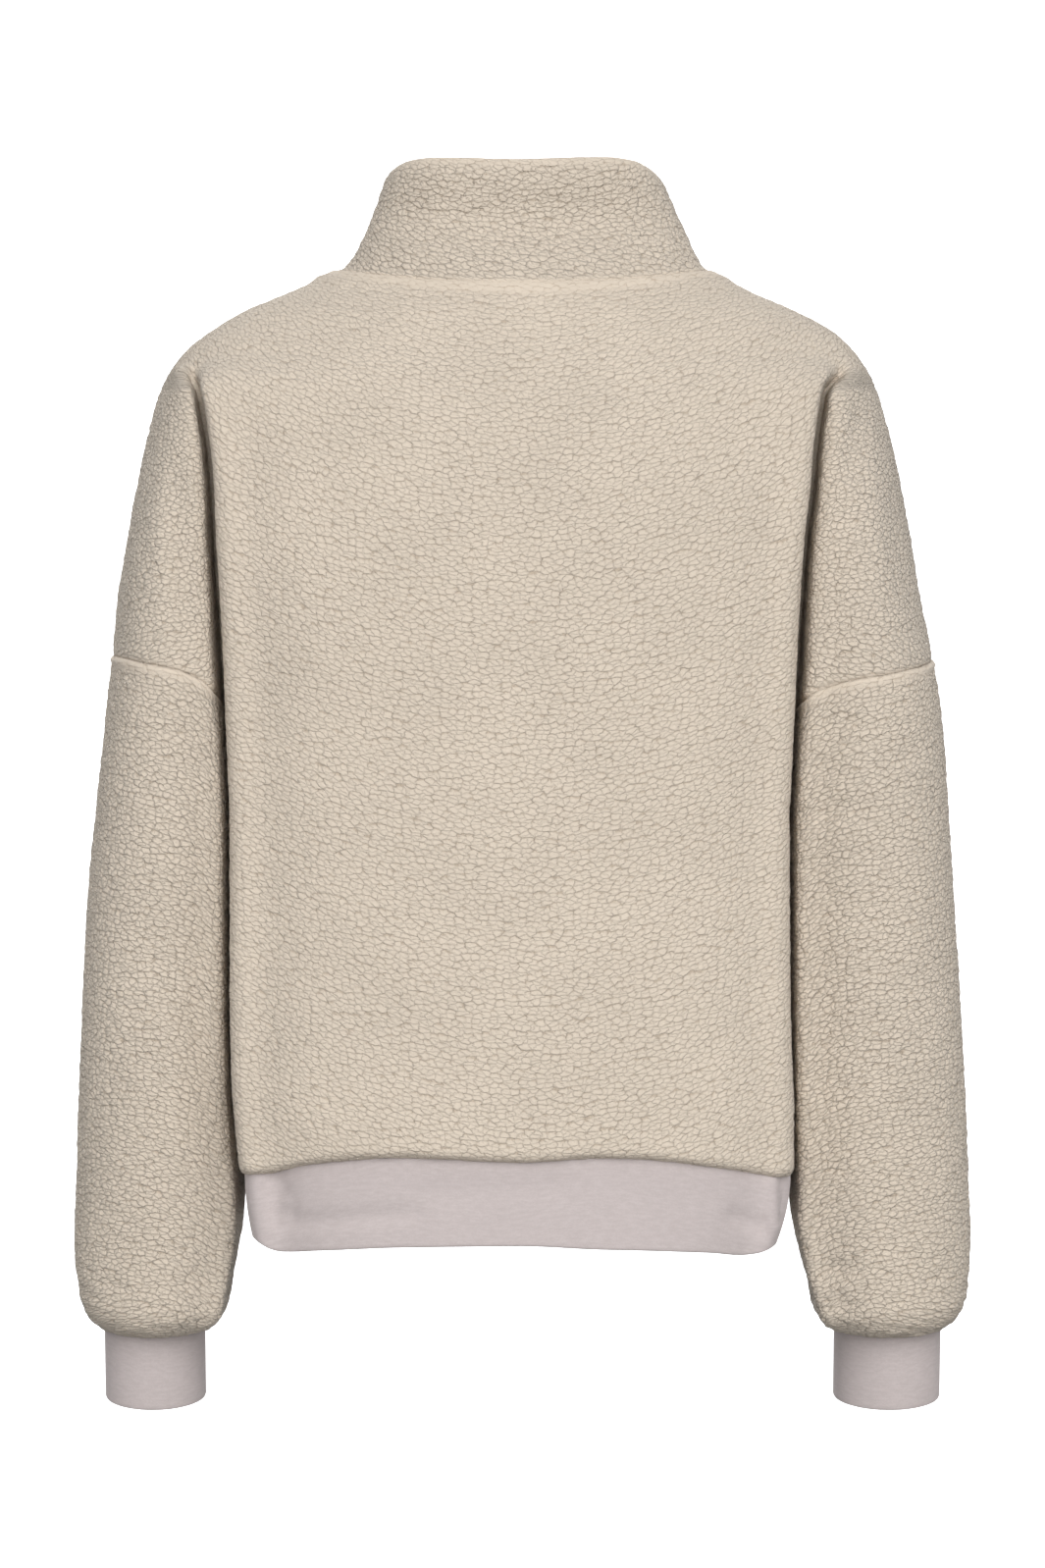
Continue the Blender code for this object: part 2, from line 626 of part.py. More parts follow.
def build():
    """Make every piece of the pullover."""
    for old in list(bpy.data.objects):
        bpy.data.objects.remove(old, do_unlink=True)
    collection = bpy.data.collections.new("sherpa_fleece_pullover")
    bpy.context.scene.collection.children.link(collection)
    fleece = finish("sherpa_fleece", (0.68, 0.61, 0.50), 0.95)
    rib = finish("lilac_rib", (0.60, 0.53, 0.52), 0.85)

    for name, half in (("back", BACK), ("front", FRONT)):
        points, keep = panel_points(half)
        if half == FRONT:
            points = points[:, ::-1]
            keep = keep[:, ::-1]
        cloth(name, points, keep, False, FLEECE_WALL, fleece, collection)
    for name, side in (("left", LEFT), ("right", RIGHT)):
        sleeve = sleeve_points(side)
        cuff = cuff_points(side)
        if side == LEFT:
            sleeve = sleeve[:, ::-1]
            cuff = cuff[:, ::-1]
        cloth("sleeve_" + name, sleeve, None, True, FLEECE_WALL, fleece, collection)
        cloth("cuff_" + name, cuff, None, True, RIB_WALL, rib, collection)
    cloth("collar", collar_points(), None, True, COLLAR_WALL, fleece, collection)
    cloth("hem_band", band_points(), None, True, RIB_WALL, rib, collection)


build()
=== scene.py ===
# %% [markdown]
# # A sherpa fleece pullover, filled out as if someone unseen wears it
#
# The pullover hangs from its shoulders with its back to us. Eight pieces of cloth were cut and
# sewn: a back, a front, two lower sleeves and a stand collar in cream sherpa fleece, and a hem
# band and two cuffs in fine lilac rib knit. Each one is rebuilt here as a thin closed shell on the
# form of its solid, and each gets its pile or knit.
#
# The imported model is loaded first. It is the frame that every piece has to fit.

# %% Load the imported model
import math

import bpy
import numpy as np
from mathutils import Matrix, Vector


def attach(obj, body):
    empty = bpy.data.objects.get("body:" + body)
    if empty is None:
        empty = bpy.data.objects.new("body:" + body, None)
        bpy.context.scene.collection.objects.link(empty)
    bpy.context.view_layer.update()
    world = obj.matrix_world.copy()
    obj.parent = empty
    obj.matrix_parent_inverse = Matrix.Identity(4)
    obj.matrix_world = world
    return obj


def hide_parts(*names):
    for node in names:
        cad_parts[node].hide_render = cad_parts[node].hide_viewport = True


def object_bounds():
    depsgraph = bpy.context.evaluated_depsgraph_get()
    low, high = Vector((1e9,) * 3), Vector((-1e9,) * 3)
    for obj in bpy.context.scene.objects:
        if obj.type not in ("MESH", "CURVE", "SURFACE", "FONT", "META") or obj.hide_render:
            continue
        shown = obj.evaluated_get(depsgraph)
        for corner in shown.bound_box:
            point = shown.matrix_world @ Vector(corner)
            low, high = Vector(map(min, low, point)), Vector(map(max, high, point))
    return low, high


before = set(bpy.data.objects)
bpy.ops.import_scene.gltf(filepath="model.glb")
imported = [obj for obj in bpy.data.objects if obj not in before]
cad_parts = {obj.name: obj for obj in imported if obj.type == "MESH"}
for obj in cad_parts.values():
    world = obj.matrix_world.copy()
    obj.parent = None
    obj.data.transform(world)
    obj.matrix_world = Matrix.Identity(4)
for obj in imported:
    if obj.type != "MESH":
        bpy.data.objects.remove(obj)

cad_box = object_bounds()
MM = 0.001
CM3 = 1000.0
BACK = 1
FRONT = -1
LEFT = 1
RIGHT = -1
low, high = ([round(v, 3) for v in corner] for corner in cad_box)
print("the solids reach from", low, "to", high)

# %% [markdown]
# ## Camera, floor and light
#
# The garment is looked at square on from behind, at the height of its middle. A long lens keeps
# the sleeves upright. The studio is white all round: one round sheet of paper is both floor and
# backdrop and bends up gently, so there is no line where they meet and white lies behind every
# side of the garment. The sheet glows, as an overlit paper backdrop seems to, but lends no light to
# the cloth and throws no shadow on it, or the underside of the hem would be as bright as the back.
#
# The light comes from a dome of sky, brightest overhead and weakest at the horizon, and from a wide
# soft lamp on our side, a little above the garment. The lamp is so far away that the collar and the
# cuffs get the same light from it. Light from above gives each tuft of pile a bright top and a thin
# dark underside, and without that the fleece would look like felt. A weaker lamp fills the front.

# %% Camera
CAMERA_DISTANCE = 3.0
CAMERA_HEIGHT = -0.3126
FRAME_HEIGHT = 0.9588
SENSOR = 36.0

camera = bpy.data.objects.new("camera", bpy.data.cameras.new("camera"))
bpy.context.scene.collection.objects.link(camera)
camera.location = (0.0, CAMERA_DISTANCE, CAMERA_HEIGHT)
camera.rotation_euler = (math.pi / 2.0, 0.0, math.pi)
camera.data.sensor_width = SENSOR
camera.data.lens = SENSOR * CAMERA_DISTANCE / FRAME_HEIGHT
bpy.context.scene.camera = camera
print("lens", round(camera.data.lens, 1), "mm")

# %% A grid of points becomes a mesh
def mesh_object(name, vertices, faces, material):
    """One smooth-shaded object from vertices in millimetres and a list of faces."""
    mesh = bpy.data.meshes.new(name)
    mesh.from_pydata((vertices * MM).tolist(), [], faces)
    mesh.shade_smooth()
    mesh.materials.append(material)
    piece = bpy.data.objects.new(name, mesh)
    bpy.context.scene.collection.objects.link(piece)
    return piece


print("meshes are worked out in millimetres and stored times", MM)

# %% White paper
PAPER_WHITE = 0.92
PAPER_GLOW = 0.95

paper = bpy.data.materials.new("white_paper")
paper.use_nodes = True
paper_shader = paper.node_tree.nodes["Principled BSDF"]
paper_shader.inputs["Base Color"].default_value = (PAPER_WHITE, PAPER_WHITE, PAPER_WHITE, 1.0)
paper_shader.inputs["Roughness"].default_value = 1.0
paper_shader.inputs["Specular IOR Level"].default_value = 0.0
paper_shader.inputs["Emission Color"].default_value = (1.0, 1.0, 1.0, 1.0)
paper_shader.inputs["Emission Strength"].default_value = PAPER_GLOW
print("paper that glows with", PAPER_GLOW)

# %% Floor and backdrop
# One profile of the sheet, turned round the upright axis: flat from the middle out, a quarter of a
# circle up, then straight up. Sizes are in millimetres.
FLOOR_LEVEL = -1050.0
MIDDLE_RADIUS = 1.0
FLOOR_RADIUS = 9000.0
BEND_RADIUS = 3000.0
BEND_POINTS = 25
PAPER_TOP = 9000.0
PAPER_SIDES = 64

turn = np.linspace(0.0, math.pi / 2.0, BEND_POINTS)
radius = np.concatenate([[MIDDLE_RADIUS], FLOOR_RADIUS + BEND_RADIUS * np.sin(turn),
                         [FLOOR_RADIUS + BEND_RADIUS]])
level = np.concatenate([[FLOOR_LEVEL], FLOOR_LEVEL + BEND_RADIUS * (1.0 - np.cos(turn)),
                        [PAPER_TOP]])
around = (np.arange(PAPER_SIDES) * 2.0 * math.pi / PAPER_SIDES)[:, None]
paper_points = np.stack(np.broadcast_arrays(radius * np.cos(around), radius * np.sin(around),
                                            level), axis=2).reshape(-1, 3)
count = len(radius)
side, step = np.meshgrid(np.arange(PAPER_SIDES), np.arange(count - 1), indexing="ij")
here = (side * count + step).ravel()
there = ((side + 1) % PAPER_SIDES * count + step).ravel()
paper_faces = np.stack([here, here + 1, there + 1, there], axis=1)
backdrop = mesh_object("backdrop", paper_points, paper_faces.tolist(), paper)
backdrop.visible_diffuse = False
backdrop.visible_shadow = False
print("round paper sweep of", PAPER_SIDES, "sides and", count - 1, "strips")

# %% Dome of sky
# How bright the dome is from below, level and overhead, each with its place on the way from
# straight down, 0, to straight up, 1.
DOME_BELOW = (0.2, 0.36)
DOME_LEVEL = (0.5, 0.08)
DOME_OVERHEAD = (0.9, 0.48)
STRAIGHT_DOWN = -1.0

world = bpy.data.worlds.new("white_dome")
world.use_nodes = True
sky = world.node_tree
direction = sky.nodes.new("ShaderNodeTexCoord").outputs["Generated"]
split = sky.nodes.new("ShaderNodeSeparateXYZ")
sky.links.new(direction, split.inputs["Vector"])
height = sky.nodes.new("ShaderNodeMapRange")
height.inputs["From Min"].default_value = STRAIGHT_DOWN
sky.links.new(split.outputs["Z"], height.inputs["Value"])
grades = sky.nodes.new("ShaderNodeValToRGB")
sky.links.new(height.outputs["Result"], grades.inputs["Fac"])
grades.color_ramp.elements.new(0.5)
for grade, (place, white) in zip(grades.color_ramp.elements,
                                 (DOME_BELOW, DOME_LEVEL, DOME_OVERHEAD)):
    grade.position = place
    grade.color = (white, white, white, 1.0)
sky.links.new(grades.outputs["Color"], sky.nodes["Background"].inputs["Color"])
bpy.context.scene.world = world
print("dome with", DOME_OVERHEAD[1], "overhead and", DOME_LEVEL[1], "at the horizon")

# %% Lamps
LAMP_SPREAD = 50.0
KEY_POWER = 2.72
KEY_PLACE = (-0.5, 5.5, 2.2)
FILL_POWER = 1.7
FILL_PLACE = (0.8, -5.5, 0.9)


def distant_lamp(name, power, place):
    """A wide soft lamp far away that shines from a place towards the origin. Its tilt from straight
    down is the angle whose tangent is level distance / height."""
    lamp = bpy.data.lights.new(name, "SUN")
    lamp.angle = math.radians(LAMP_SPREAD)
    lamp.energy = power
    stand = bpy.data.objects.new(name, lamp)
    bpy.context.scene.collection.objects.link(stand)
    stand.location = place
    stand.rotation_euler = (math.atan2(math.hypot(place[0], place[1]), place[2]), 0.0,
                            math.atan2(place[0], -place[1]))
    return stand


key = distant_lamp("key", KEY_POWER, KEY_PLACE)
distant_lamp("fill", FILL_POWER, FILL_PLACE)
bpy.context.scene.view_settings.view_transform = "Standard"
print("key lamp tilted", round(math.degrees(key.rotation_euler[0])), "degrees from straight down")

# %% [markdown]
# ## The garment's sizes
#
# The form under the pile is the form of the solids, so the same small tables give it: sections of
# the torso, its outer edge, sections of the arm, the shape of the seams and of the lower edges.
# A curve through a table's rows never overshoots them, which keeps a sleeve from bulging between
# two sections.

# %% Tables and curves
def table(text):
    """Named columns from a small text table whose first line holds the names."""
    lines = text.strip().splitlines()
    rows = np.array([[float(word) for word in line.split()] for line in lines[1:]])
    return dict(zip(lines[0].split(), rows.T))


def smooth(columns, name, at, key="level"):
    """A column's value at each place, on a cubic curve whose slope at a row is the harmonic mean
    of the slopes beside it, or 0 where they differ in sign."""
    order = np.argsort(columns[key])
    known = columns[key][order]
    value = columns[name][order]
    slope = np.diff(value) / np.diff(known)
    product = slope[:-1] * slope[1:]
    total = np.where(product > 0, slope[:-1] + slope[1:], 1.0)
    inner = np.where(product > 0, 2.0 * product / total, 0.0)
    tangent = np.concatenate([slope[:1], inner, slope[-1:]])
    at = np.clip(at, known[0], known[-1])
    left = np.clip(np.searchsorted(known, at, side="right") - 1, 0, len(known) - 2)
    width = known[left + 1] - known[left]
    t = (at - known[left]) / width
    rise = t * t * (3.0 - 2.0 * t)
    start = value[left] * (1.0 - rise) + value[left + 1] * rise
    bend = width * (t * (1.0 - t) ** 2 * tangent[left] - t * t * (1.0 - t) * tangent[left + 1])
    return start + bend


def ease(share):
    """0 to 1 with flat ends: 3 t^2 - 2 t^3."""
    share = np.clip(share, 0.0, 1.0)
    return share * share * (3.0 - 2.0 * share)


def hump(distance, width):
    """1 at distance 0, falling away as a bell of the given half width."""
    return np.exp(-((distance / width) ** 2))


def by_side(columns, name, side, level):
    """A column that has its own values left and right of the wearer."""
    left = smooth(columns, name + "_l", level)
    right = smooth(columns, name + "_r", level)
    return np.where(side > 0, left, right)


def rounded(share, square):
    """x and y of a quarter of a superellipse, from (0, 1) to (1, 0): sin and cos to 2/square."""
    angle = np.asarray(share) * math.pi / 2.0
    x = np.abs(np.sin(angle)) ** (2.0 / square)
    y = np.abs(np.cos(angle)) ** (2.0 / square)
    return x, y


print("a quarter of an ellipse halfway:", [round(float(v), 2) for v in rounded(0.5, 2.0)])

# %% Sizes that several pieces share, in millimetres
FLEECE_WALL = 3.0
RIB_WALL = 2.4
SEAM_GAP = 0.3
UNDERARM_LEVEL = -268.0
SIDE_SEAM_Y = -6.0
HEM_ROLL_HEIGHT = 7.0
SLEEVE_END_LEVEL = -620.0
SLEEVE_ROLL_HEIGHT = 28.0
ROLL_UNDERLAP = 2.2
KNIT_TUCK = 2.0
print("fleece wall", FLEECE_WALL, "mm, knit wall", RIB_WALL, "mm")

# %% Sections of the torso and the outer edge
# half: half width of the torso at the fold or side. back, front: y in the middle. square: 2 is an
# ellipse, more is squarer.
TORSO = table("""
level  half_l half_r  back  front square
   0     86     86     66    -50   2.00
 -13    110    109     72    -60   2.00
 -25    138    136     79    -68   2.05
 -37    162    159     85    -74   2.15
 -49    185    178     91    -81   2.30
 -61    197    187     97    -88   2.50
 -75    194    181    102    -96   2.70
 -90    191    178    107   -103   2.90
-114    187.5  175    113   -113   3.00
-138    185.5  173    117   -121   3.10
-164    184.5  170    119.5 -126   3.20
-200    182.5  167.5  121   -129   3.20
-230    181    166    121   -129   3.20
-270    179.5  164.5  120   -127   3.20
-346    177    161.5  119   -123   3.20
-433    177    162    118   -121   3.20
-493    176    163.2  117   -119   3.20
-525    174    164    116   -117   3.15
-545    171.5  164.5  115   -116   3.10
""")

# Outer edge of the garment: the shoulder line, then the outside of the arms.
EDGE = table("""
level  edge_l edge_r
   0    113    113
  -2.4  124.5  123.3
  -7.8  132    131.5
 -13    144    141.5
 -25    172    169
 -37    191.5  190.5
 -49    206.5  203
 -61    215    211
 -75    221.5  217
 -90    226    221.5
-109    230.5  226.5
-133    235.5  231.5
-169    242    238
-200    247    243
-232    250    249.5
-256    252.8  254
-290    256.5  258
-337    261.7  261
-373    265.5  263.5
-434    269.3  268
-494    272.5  272
-556    275.7  275.5
-593    277.5  277.5
-607    277.2  277.3
-622    275    276
""")
print("the torso is stated at", len(TORSO["level"]), "levels and its edge at",
      len(EDGE["level"]))

# %% Sections of the arm
# away: distance of the arm's inner side from the torso. mid: y of the arm's middle. depth: half
# depth. peak: where the arm is deepest, 0 at its inner side, 1 at its outer edge. sink: how deep
# the fold beside it goes, 0 level with the arm's back, 1 at the arm's middle. lean: how much lower
# the arm's rings sit behind than in front, as a slope.
ARM = table("""
level  away_l away_r  mid   depth  peak  sink  lean
   0     3.0    3.0   -2    30.0   0.10  0.00  0.00
 -49     3.0    3.0   -3    40.0   0.12  0.00  0.00
 -61     3.0    3.0   -3    46.0   0.15  0.06  0.00
 -75     3.0    3.0   -4    52.0   0.20  0.14  0.00
 -90     3.0    3.0   -4    57.0   0.26  0.28  0.00
-114     3.0    3.0   -5    63.0   0.34  0.43  0.00
-138     3.0    3.0   -5    67.0   0.40  0.55  0.00
-164     3.0    3.0   -5    70.0   0.45  0.66  0.00
-200     3.0    3.0   -6    72.5   0.49  0.78  0.00
-230     3.0    3.0   -6    73.0   0.50  0.88  0.00
-256     2.4    2.4   -6    73.0   0.50  0.98  0.00
-270     1.6    1.6   -6    72.5   0.50  1.00  0.01
-285     1.0    1.0   -7    71.5   0.50  1.00  0.01
-346     1.0    1.0   -9    67.5   0.50  1.00  0.05
-434     1.0    1.0  -16    61.0   0.50  1.00  0.10
-494     1.0    1.0  -24    57.0   0.50  1.00  0.14
-550     1.0    1.0  -35    53.5   0.50  1.00  0.17
-568     1.0    1.0  -39    52.3   0.50  1.00  0.18
-584     2.2    3.3  -42    51.0   0.50  1.00  0.18
-604     5.5    8.0  -46    50.0   0.50  1.00  0.19
-620     9.0   13.0  -49    49.0   0.50  1.00  0.20
""")
print("the arm is stated at", len(ARM["level"]), "levels")

# %% Seam and edge lines
# The drop-shoulder seam stands this high above the underarm at the arm's outer edge. rise: the
# seam's height as a share of that. across: 0 is the arm's outer edge, 1 its inner side.
ARMHOLE_RISE = {LEFT: 35.0, RIGHT: 33.0}
DROP_SEAM = table("""
across rise_l rise_r
 0.0   1.000  1.000
 0.2   0.924  0.840
 0.4   0.812  0.679
 0.6   0.663  0.511
 0.8   0.436  0.308
 0.9   0.257  0.174
 1.0   0.000  0.000
""")

# Height of the fleece's lower edge and of the band's lower edge, across the back and the front.
HEM_BACK = table("""
x     fleece  band
-165  -547.5  -590
-150  -547    -591.5
-139  -545    -592.5
-118  -541    -590
 -77  -535    -587.5
 -46  -533.5  -586.5
   0  -536    -584.5
  72  -533.5  -585.5
 122  -538    -588.5
 147  -544    -590.5
 165  -546.5  -589
""")

HEM_FRONT = table("""
x     fleece  band
-165  -547.5  -590
-139  -545    -591
 -80  -538    -588
   0  -536    -586.5
  80  -538    -588
 147  -544.5  -590.5
 165  -546.5  -589
""")


def seam_rise(side, share):
    """Height of the drop-shoulder seam above the underarm, share 0 at the outer edge."""
    left = ARMHOLE_RISE[LEFT] * smooth(DROP_SEAM, "rise_l", share, key="across")
    right = ARMHOLE_RISE[RIGHT] * smooth(DROP_SEAM, "rise_r", share, key="across")
    return np.where(side > 0, left, right)


def hem_height(half, x, name):
    """Height of the fleece's or the band's lower edge at a place across the garment."""
    return smooth(HEM_BACK if half > 0 else HEM_FRONT, name, x, key="x")


print("the hem's middle is at", hem_height(BACK, 0.0, "fleece"), "mm behind and",
      hem_height(FRONT, 0.0, "fleece"), "mm in front")

# %% [markdown]
# ## Sections as formulas
#
# The torso's section is a superellipse, and the arm's is two quarters of one, an outer and an inner
# one. Where torso and arm lie against each other, soft filled cloth bulges towards the fold, so
# both sections are a little fuller there than a superellipse. That leaves a thin dark line between
# two bright surfaces, where a plain superellipse would give a wide dusky valley.

# %% The torso's section
FOLD_FLOOR_MIN = 4.6
UNDERARM_GUSSET = 18.0
TORSO_FULL_SHARE = 0.42
TORSO_FULL_WIDTH = 16.0
EDGE_FULL_AT = 3.5
EDGE_FULL_START = 2.6


def fold_floor(level):
    """y distance of the fold's floor from the arm's middle, on the back and the front alike."""
    depth = smooth(ARM, "depth", level)
    return np.maximum(depth * (1.0 - smooth(ARM, "sink", level)), FOLD_FLOOR_MIN)


def full_edge(distance, share, width):
    """How much of the way from its superellipse to its full depth a section goes, at a distance
    from its fold: share x bell of the given width, eased in from 0 at the fold itself."""
    return share * hump(distance - EDGE_FULL_AT, width) * ease(distance / EDGE_FULL_START)


def torso_xy(side, half, share, level):
    """A point of the torso's superellipse: share 0 is the middle of the cloth, 1 the fold or the
    side seam. Just under the arm the fold's floor runs out into the side seam."""
    width = by_side(TORSO, "half", side, level)
    middle = np.where(half > 0, smooth(TORSO, "back", level), smooth(TORSO, "front", level))
    x_share, y_share = rounded(share, smooth(TORSO, "square", level))
    side_seam = SIDE_SEAM_Y + half * SEAM_GAP / 2.0
    open_fold = smooth(ARM, "mid", level) + half * fold_floor(level)
    closing = ease((UNDERARM_LEVEL - level) / UNDERARM_GUSSET)
    floor = open_fold + (side_seam - open_fold) * closing
    fuller = full_edge(width * (1.0 - x_share), TORSO_FULL_SHARE, TORSO_FULL_WIDTH)
    y_share = y_share + (1.0 - y_share) * fuller
    return side * width * x_share, floor + (middle - floor) * y_share


print("floor of the fold at the underarm:", round(float(fold_floor(UNDERARM_LEVEL)), 1),
      "mm from the arm's middle")

# %% The arm's section
ARM_ROUNDNESS = 2.35
ARM_FULL_SHARE = 0.65
ARM_FULL_WIDTH = 14.0
ARM_TURN = 16.0


def arm_xy(side, half, share, level, floor):
    """A point of the arm's two quarter superellipses: share 0 is its outer edge, 0.5 its back or
    front, 1 its inner side at the given floor, a y distance from the arm's middle. The section is
    turned a little towards the torso: y grows by ARM_TURN x y share x the distance from the outer
    edge, 1 at the inner side."""
    outer = by_side(EDGE, "edge", side, level)
    inner = by_side(TORSO, "half", side, level) + by_side(ARM, "away", side, level)
    mid = smooth(ARM, "mid", level)
    depth = smooth(ARM, "depth", level)
    peak = inner + (outer - inner) * smooth(ARM, "peak", level)
    out_y, out_x = rounded(np.clip(2.0 * share, 0.0, 1.0), ARM_ROUNDNESS)
    in_x, in_y = rounded(np.clip(2.0 * share - 1.0, 0.0, 1.0), ARM_ROUNDNESS)
    outside = share <= 0.5
    fuller = full_edge((peak - inner) * (1.0 - in_x), ARM_FULL_SHARE, ARM_FULL_WIDTH)
    in_y = in_y + (1.0 - in_y) * fuller
    x = np.where(outside, peak + (outer - peak) * out_x, peak - (peak - inner) * in_x)
    y = np.where(outside, depth * out_y, floor + (depth - floor) * in_y)
    turned = ARM_TURN * np.where(outside, out_y, in_y) * (outer - x) / (outer - inner)
    return side * x, mid + half * (y + turned)


def ring_shares(samples):
    """half and arm share round an arm: from its inner side over the back to the outer edge, then
    over the front to the inner side."""
    behind = np.linspace(1.0, 0.0, samples + 1)
    share = np.concatenate([behind, np.linspace(0.0, 1.0, samples + 1)[1:]])
    return np.where(np.arange(len(share)) <= samples, BACK, FRONT), share


# %% The section above the folds
SHOULDER_ROUNDNESS = 2.2


def shoulder_xy(side, half, share, level, z):
    """A point of the plain rounded section above the folds: share 0 is the middle of the cloth,
    1 the shoulder seam. Rows that dip keep their level's width there, so the neck is an oval."""
    outer = by_side(EDGE, "edge", side, level)
    mid = smooth(ARM, "mid", z)
    middle = np.where(half > 0, smooth(TORSO, "back", z), smooth(TORSO, "front", z))
    x_share, y_share = rounded(share, SHOULDER_ROUNDNESS)
    return side * outer * x_share, mid + (middle - mid) * y_share


print("sections stated from level 0 to", TORSO["level"][-1], "mm")

# %% The band's and the cuffs' sections
BAND_INSET_SIDE = {LEFT: 3.1, RIGHT: 1.9}
BAND_INSET_FACE = 7.5
BAND_TAPER = {LEFT: 4.5, RIGHT: 8.5}
CUFF_CENTRE_X = {LEFT: 228.8, RIGHT: 227.0}
CUFF_CENTRE_Y = -54.0
CUFF_HALF_WIDTH = {LEFT: 31.3, RIGHT: 33.2}
CUFF_HALF_DEPTH = 31.0
CUFF_TILT = 0.20
CUFF_SHARE = 0.98
CUFF_ROUNDNESS = 2.0


def band_xy(side, half, share, inset_extra=0.0, taper=0.0):
    """A point of the hem band's ring: the torso's lowest section, scaled to lie inside the fleece
    by an inset at the sides and one at the faces."""
    level = TORSO["level"][-1]
    x, y = torso_xy(side, half, share, level)
    width = by_side(TORSO, "half", side, level)
    inset = np.where(side > 0, BAND_INSET_SIDE[LEFT], BAND_INSET_SIDE[RIGHT]) + inset_extra
    narrow = np.where(side > 0, BAND_TAPER[LEFT], BAND_TAPER[RIGHT]) * taper
    x = x * (width - inset - narrow) / width
    middle = np.abs(y - SIDE_SEAM_Y)
    depth = np.abs(smooth(TORSO, "back" if half > 0 else "front", level) - SIDE_SEAM_Y)
    y = SIDE_SEAM_Y + half * middle * (depth - BAND_INSET_FACE - inset_extra) / depth
    return x, y


def cuff_xy(side, half, share, grow):
    """A point of the cuff's oval; grow moves it out or in."""
    share = share * CUFF_SHARE
    width = CUFF_HALF_WIDTH[side] + grow
    out_y, out_x = rounded(np.clip(2.0 * share, 0.0, 1.0), CUFF_ROUNDNESS)
    in_x, in_y = rounded(np.clip(2.0 * share - 1.0, 0.0, 1.0), CUFF_ROUNDNESS)
    x = np.where(share <= 0.5, width * out_x, -width * in_x)
    y = np.where(share <= 0.5, out_y, in_y) * (CUFF_HALF_DEPTH + grow)
    return side * (CUFF_CENTRE_X[side] + x), CUFF_CENTRE_Y + half * y


print("cuffs", [round(2.0 * width, 1) for width in CUFF_HALF_WIDTH.values()], "mm across")

# %% [markdown]
# ## Even grids
#
# A superellipse that is drawn at equal angles has its points crowded in one place and far apart in
# another. Pile needs an even grid, or the tufts would be sharp here and smeared there. So each
# piece is first drawn with plenty of points, and then the samples slide along its rows and its
# columns until they are equally far apart on the cloth. The shape stays as it was.

# %% Slide samples to equal distances
CROWDING = 1.6
NO_LENGTH = 1e-9


def lengths(points, axis):
    """Distance along the cloth from the start of each row (axis 1) or column (axis 0)."""
    gap = np.linalg.norm(np.diff(points, axis=axis), axis=2)
    start = np.zeros_like(np.take(gap, [0], axis=axis))
    return np.concatenate([start, np.cumsum(gap, axis=axis)], axis=axis)


def even(points, steps, axis):
    """The same surface with that many equal steps along one axis: each new point lies on the
    straight line between the two old ones round its distance."""
    rows = points if axis == 1 else points.swapaxes(0, 1)
    along = lengths(rows, 1)
    result = np.empty((len(rows), steps + 1, 3))
    for index, (line, reach) in enumerate(zip(rows, along)):
        wanted = np.linspace(0.0, reach[-1], steps + 1)
        place = np.clip(np.searchsorted(reach, wanted, side="right") - 1, 0, len(reach) - 2)
        part = (wanted - reach[place]) / np.maximum(reach[place + 1] - reach[place], NO_LENGTH)
        result[index] = line[place] + (line[place + 1] - line[place]) * part[:, None]
    return result if axis == 1 else result.swapaxes(0, 1)


def steps_for(length, size, multiple):
    """How many steps of about the given size fit a length, as a multiple of a whole number."""
    return max(1, round(length / size / multiple)) * multiple


def crowded(count):
    """0 to 1 in count steps that are closest together at both ends: a / (a + b), where a is the
    way so far and b the way left, both to a power."""
    share = np.linspace(0.0, 1.0, count + 1)
    return share ** CROWDING / (share ** CROWDING + (1.0 - share) ** CROWDING)


def facing(points, ring, outward):
    """Unit normals of a grid, the cross product of its differences down and across, times 1 or -1
    so that they point out of the cloth."""
    if ring:
        across = np.roll(points, -1, axis=1) - np.roll(points, 1, axis=1)
    else:
        across = np.gradient(points, axis=1)
    normal = np.cross(np.gradient(points, axis=0), across) * outward
    return normal / np.maximum(np.linalg.norm(normal, axis=2, keepdims=True), NO_LENGTH)


print("five samples crowded at both ends:", crowded(4).round(2))

# %% [markdown]
# ## A thin wall of cloth
#
# Cloth is a shell with two faces. The outer one carries the pile and needs hundreds of thousands of
# small faces. The inner one is plain, so it takes every fourth row and column only, and a row of
# many-sided faces round each edge joins the two. Blender's Solidify would double the fine grid,
# which would spend half of a piece's triangles on a side that nobody sees.

# %% Numbers and cells of a grid
EVERY = 4


def numbered(rows, columns, first, ring):
    """Vertex numbers of a grid. A ring's last column is its first again."""
    grid = first + np.arange(rows * columns).reshape(rows, columns)
    return np.concatenate([grid, grid[:, :1]], axis=1) if ring else grid


def cells(grid):
    """The four corners of each cell of a grid of numbers."""
    return np.stack([grid[:-1, :-1], grid[1:, :-1], grid[1:, 1:], grid[:-1, 1:]], axis=2)


def enclosed(vertices, faces):
    """Volume inside closed faces of one size, by the divergence theorem over fans of triangles."""
    total = 0.0
    for corner in range(1, faces.shape[1] - 1):
        a, b, c = (vertices[faces[:, i]] for i in (0, corner, corner + 1))
        total += np.einsum("ij,ij->i", a, np.cross(b, c)).sum() / 6.0
    return total


print("a grid of 3 x 3 points has", len(cells(numbered(3, 3, 0, False)).reshape(-1, 4)), "cells")

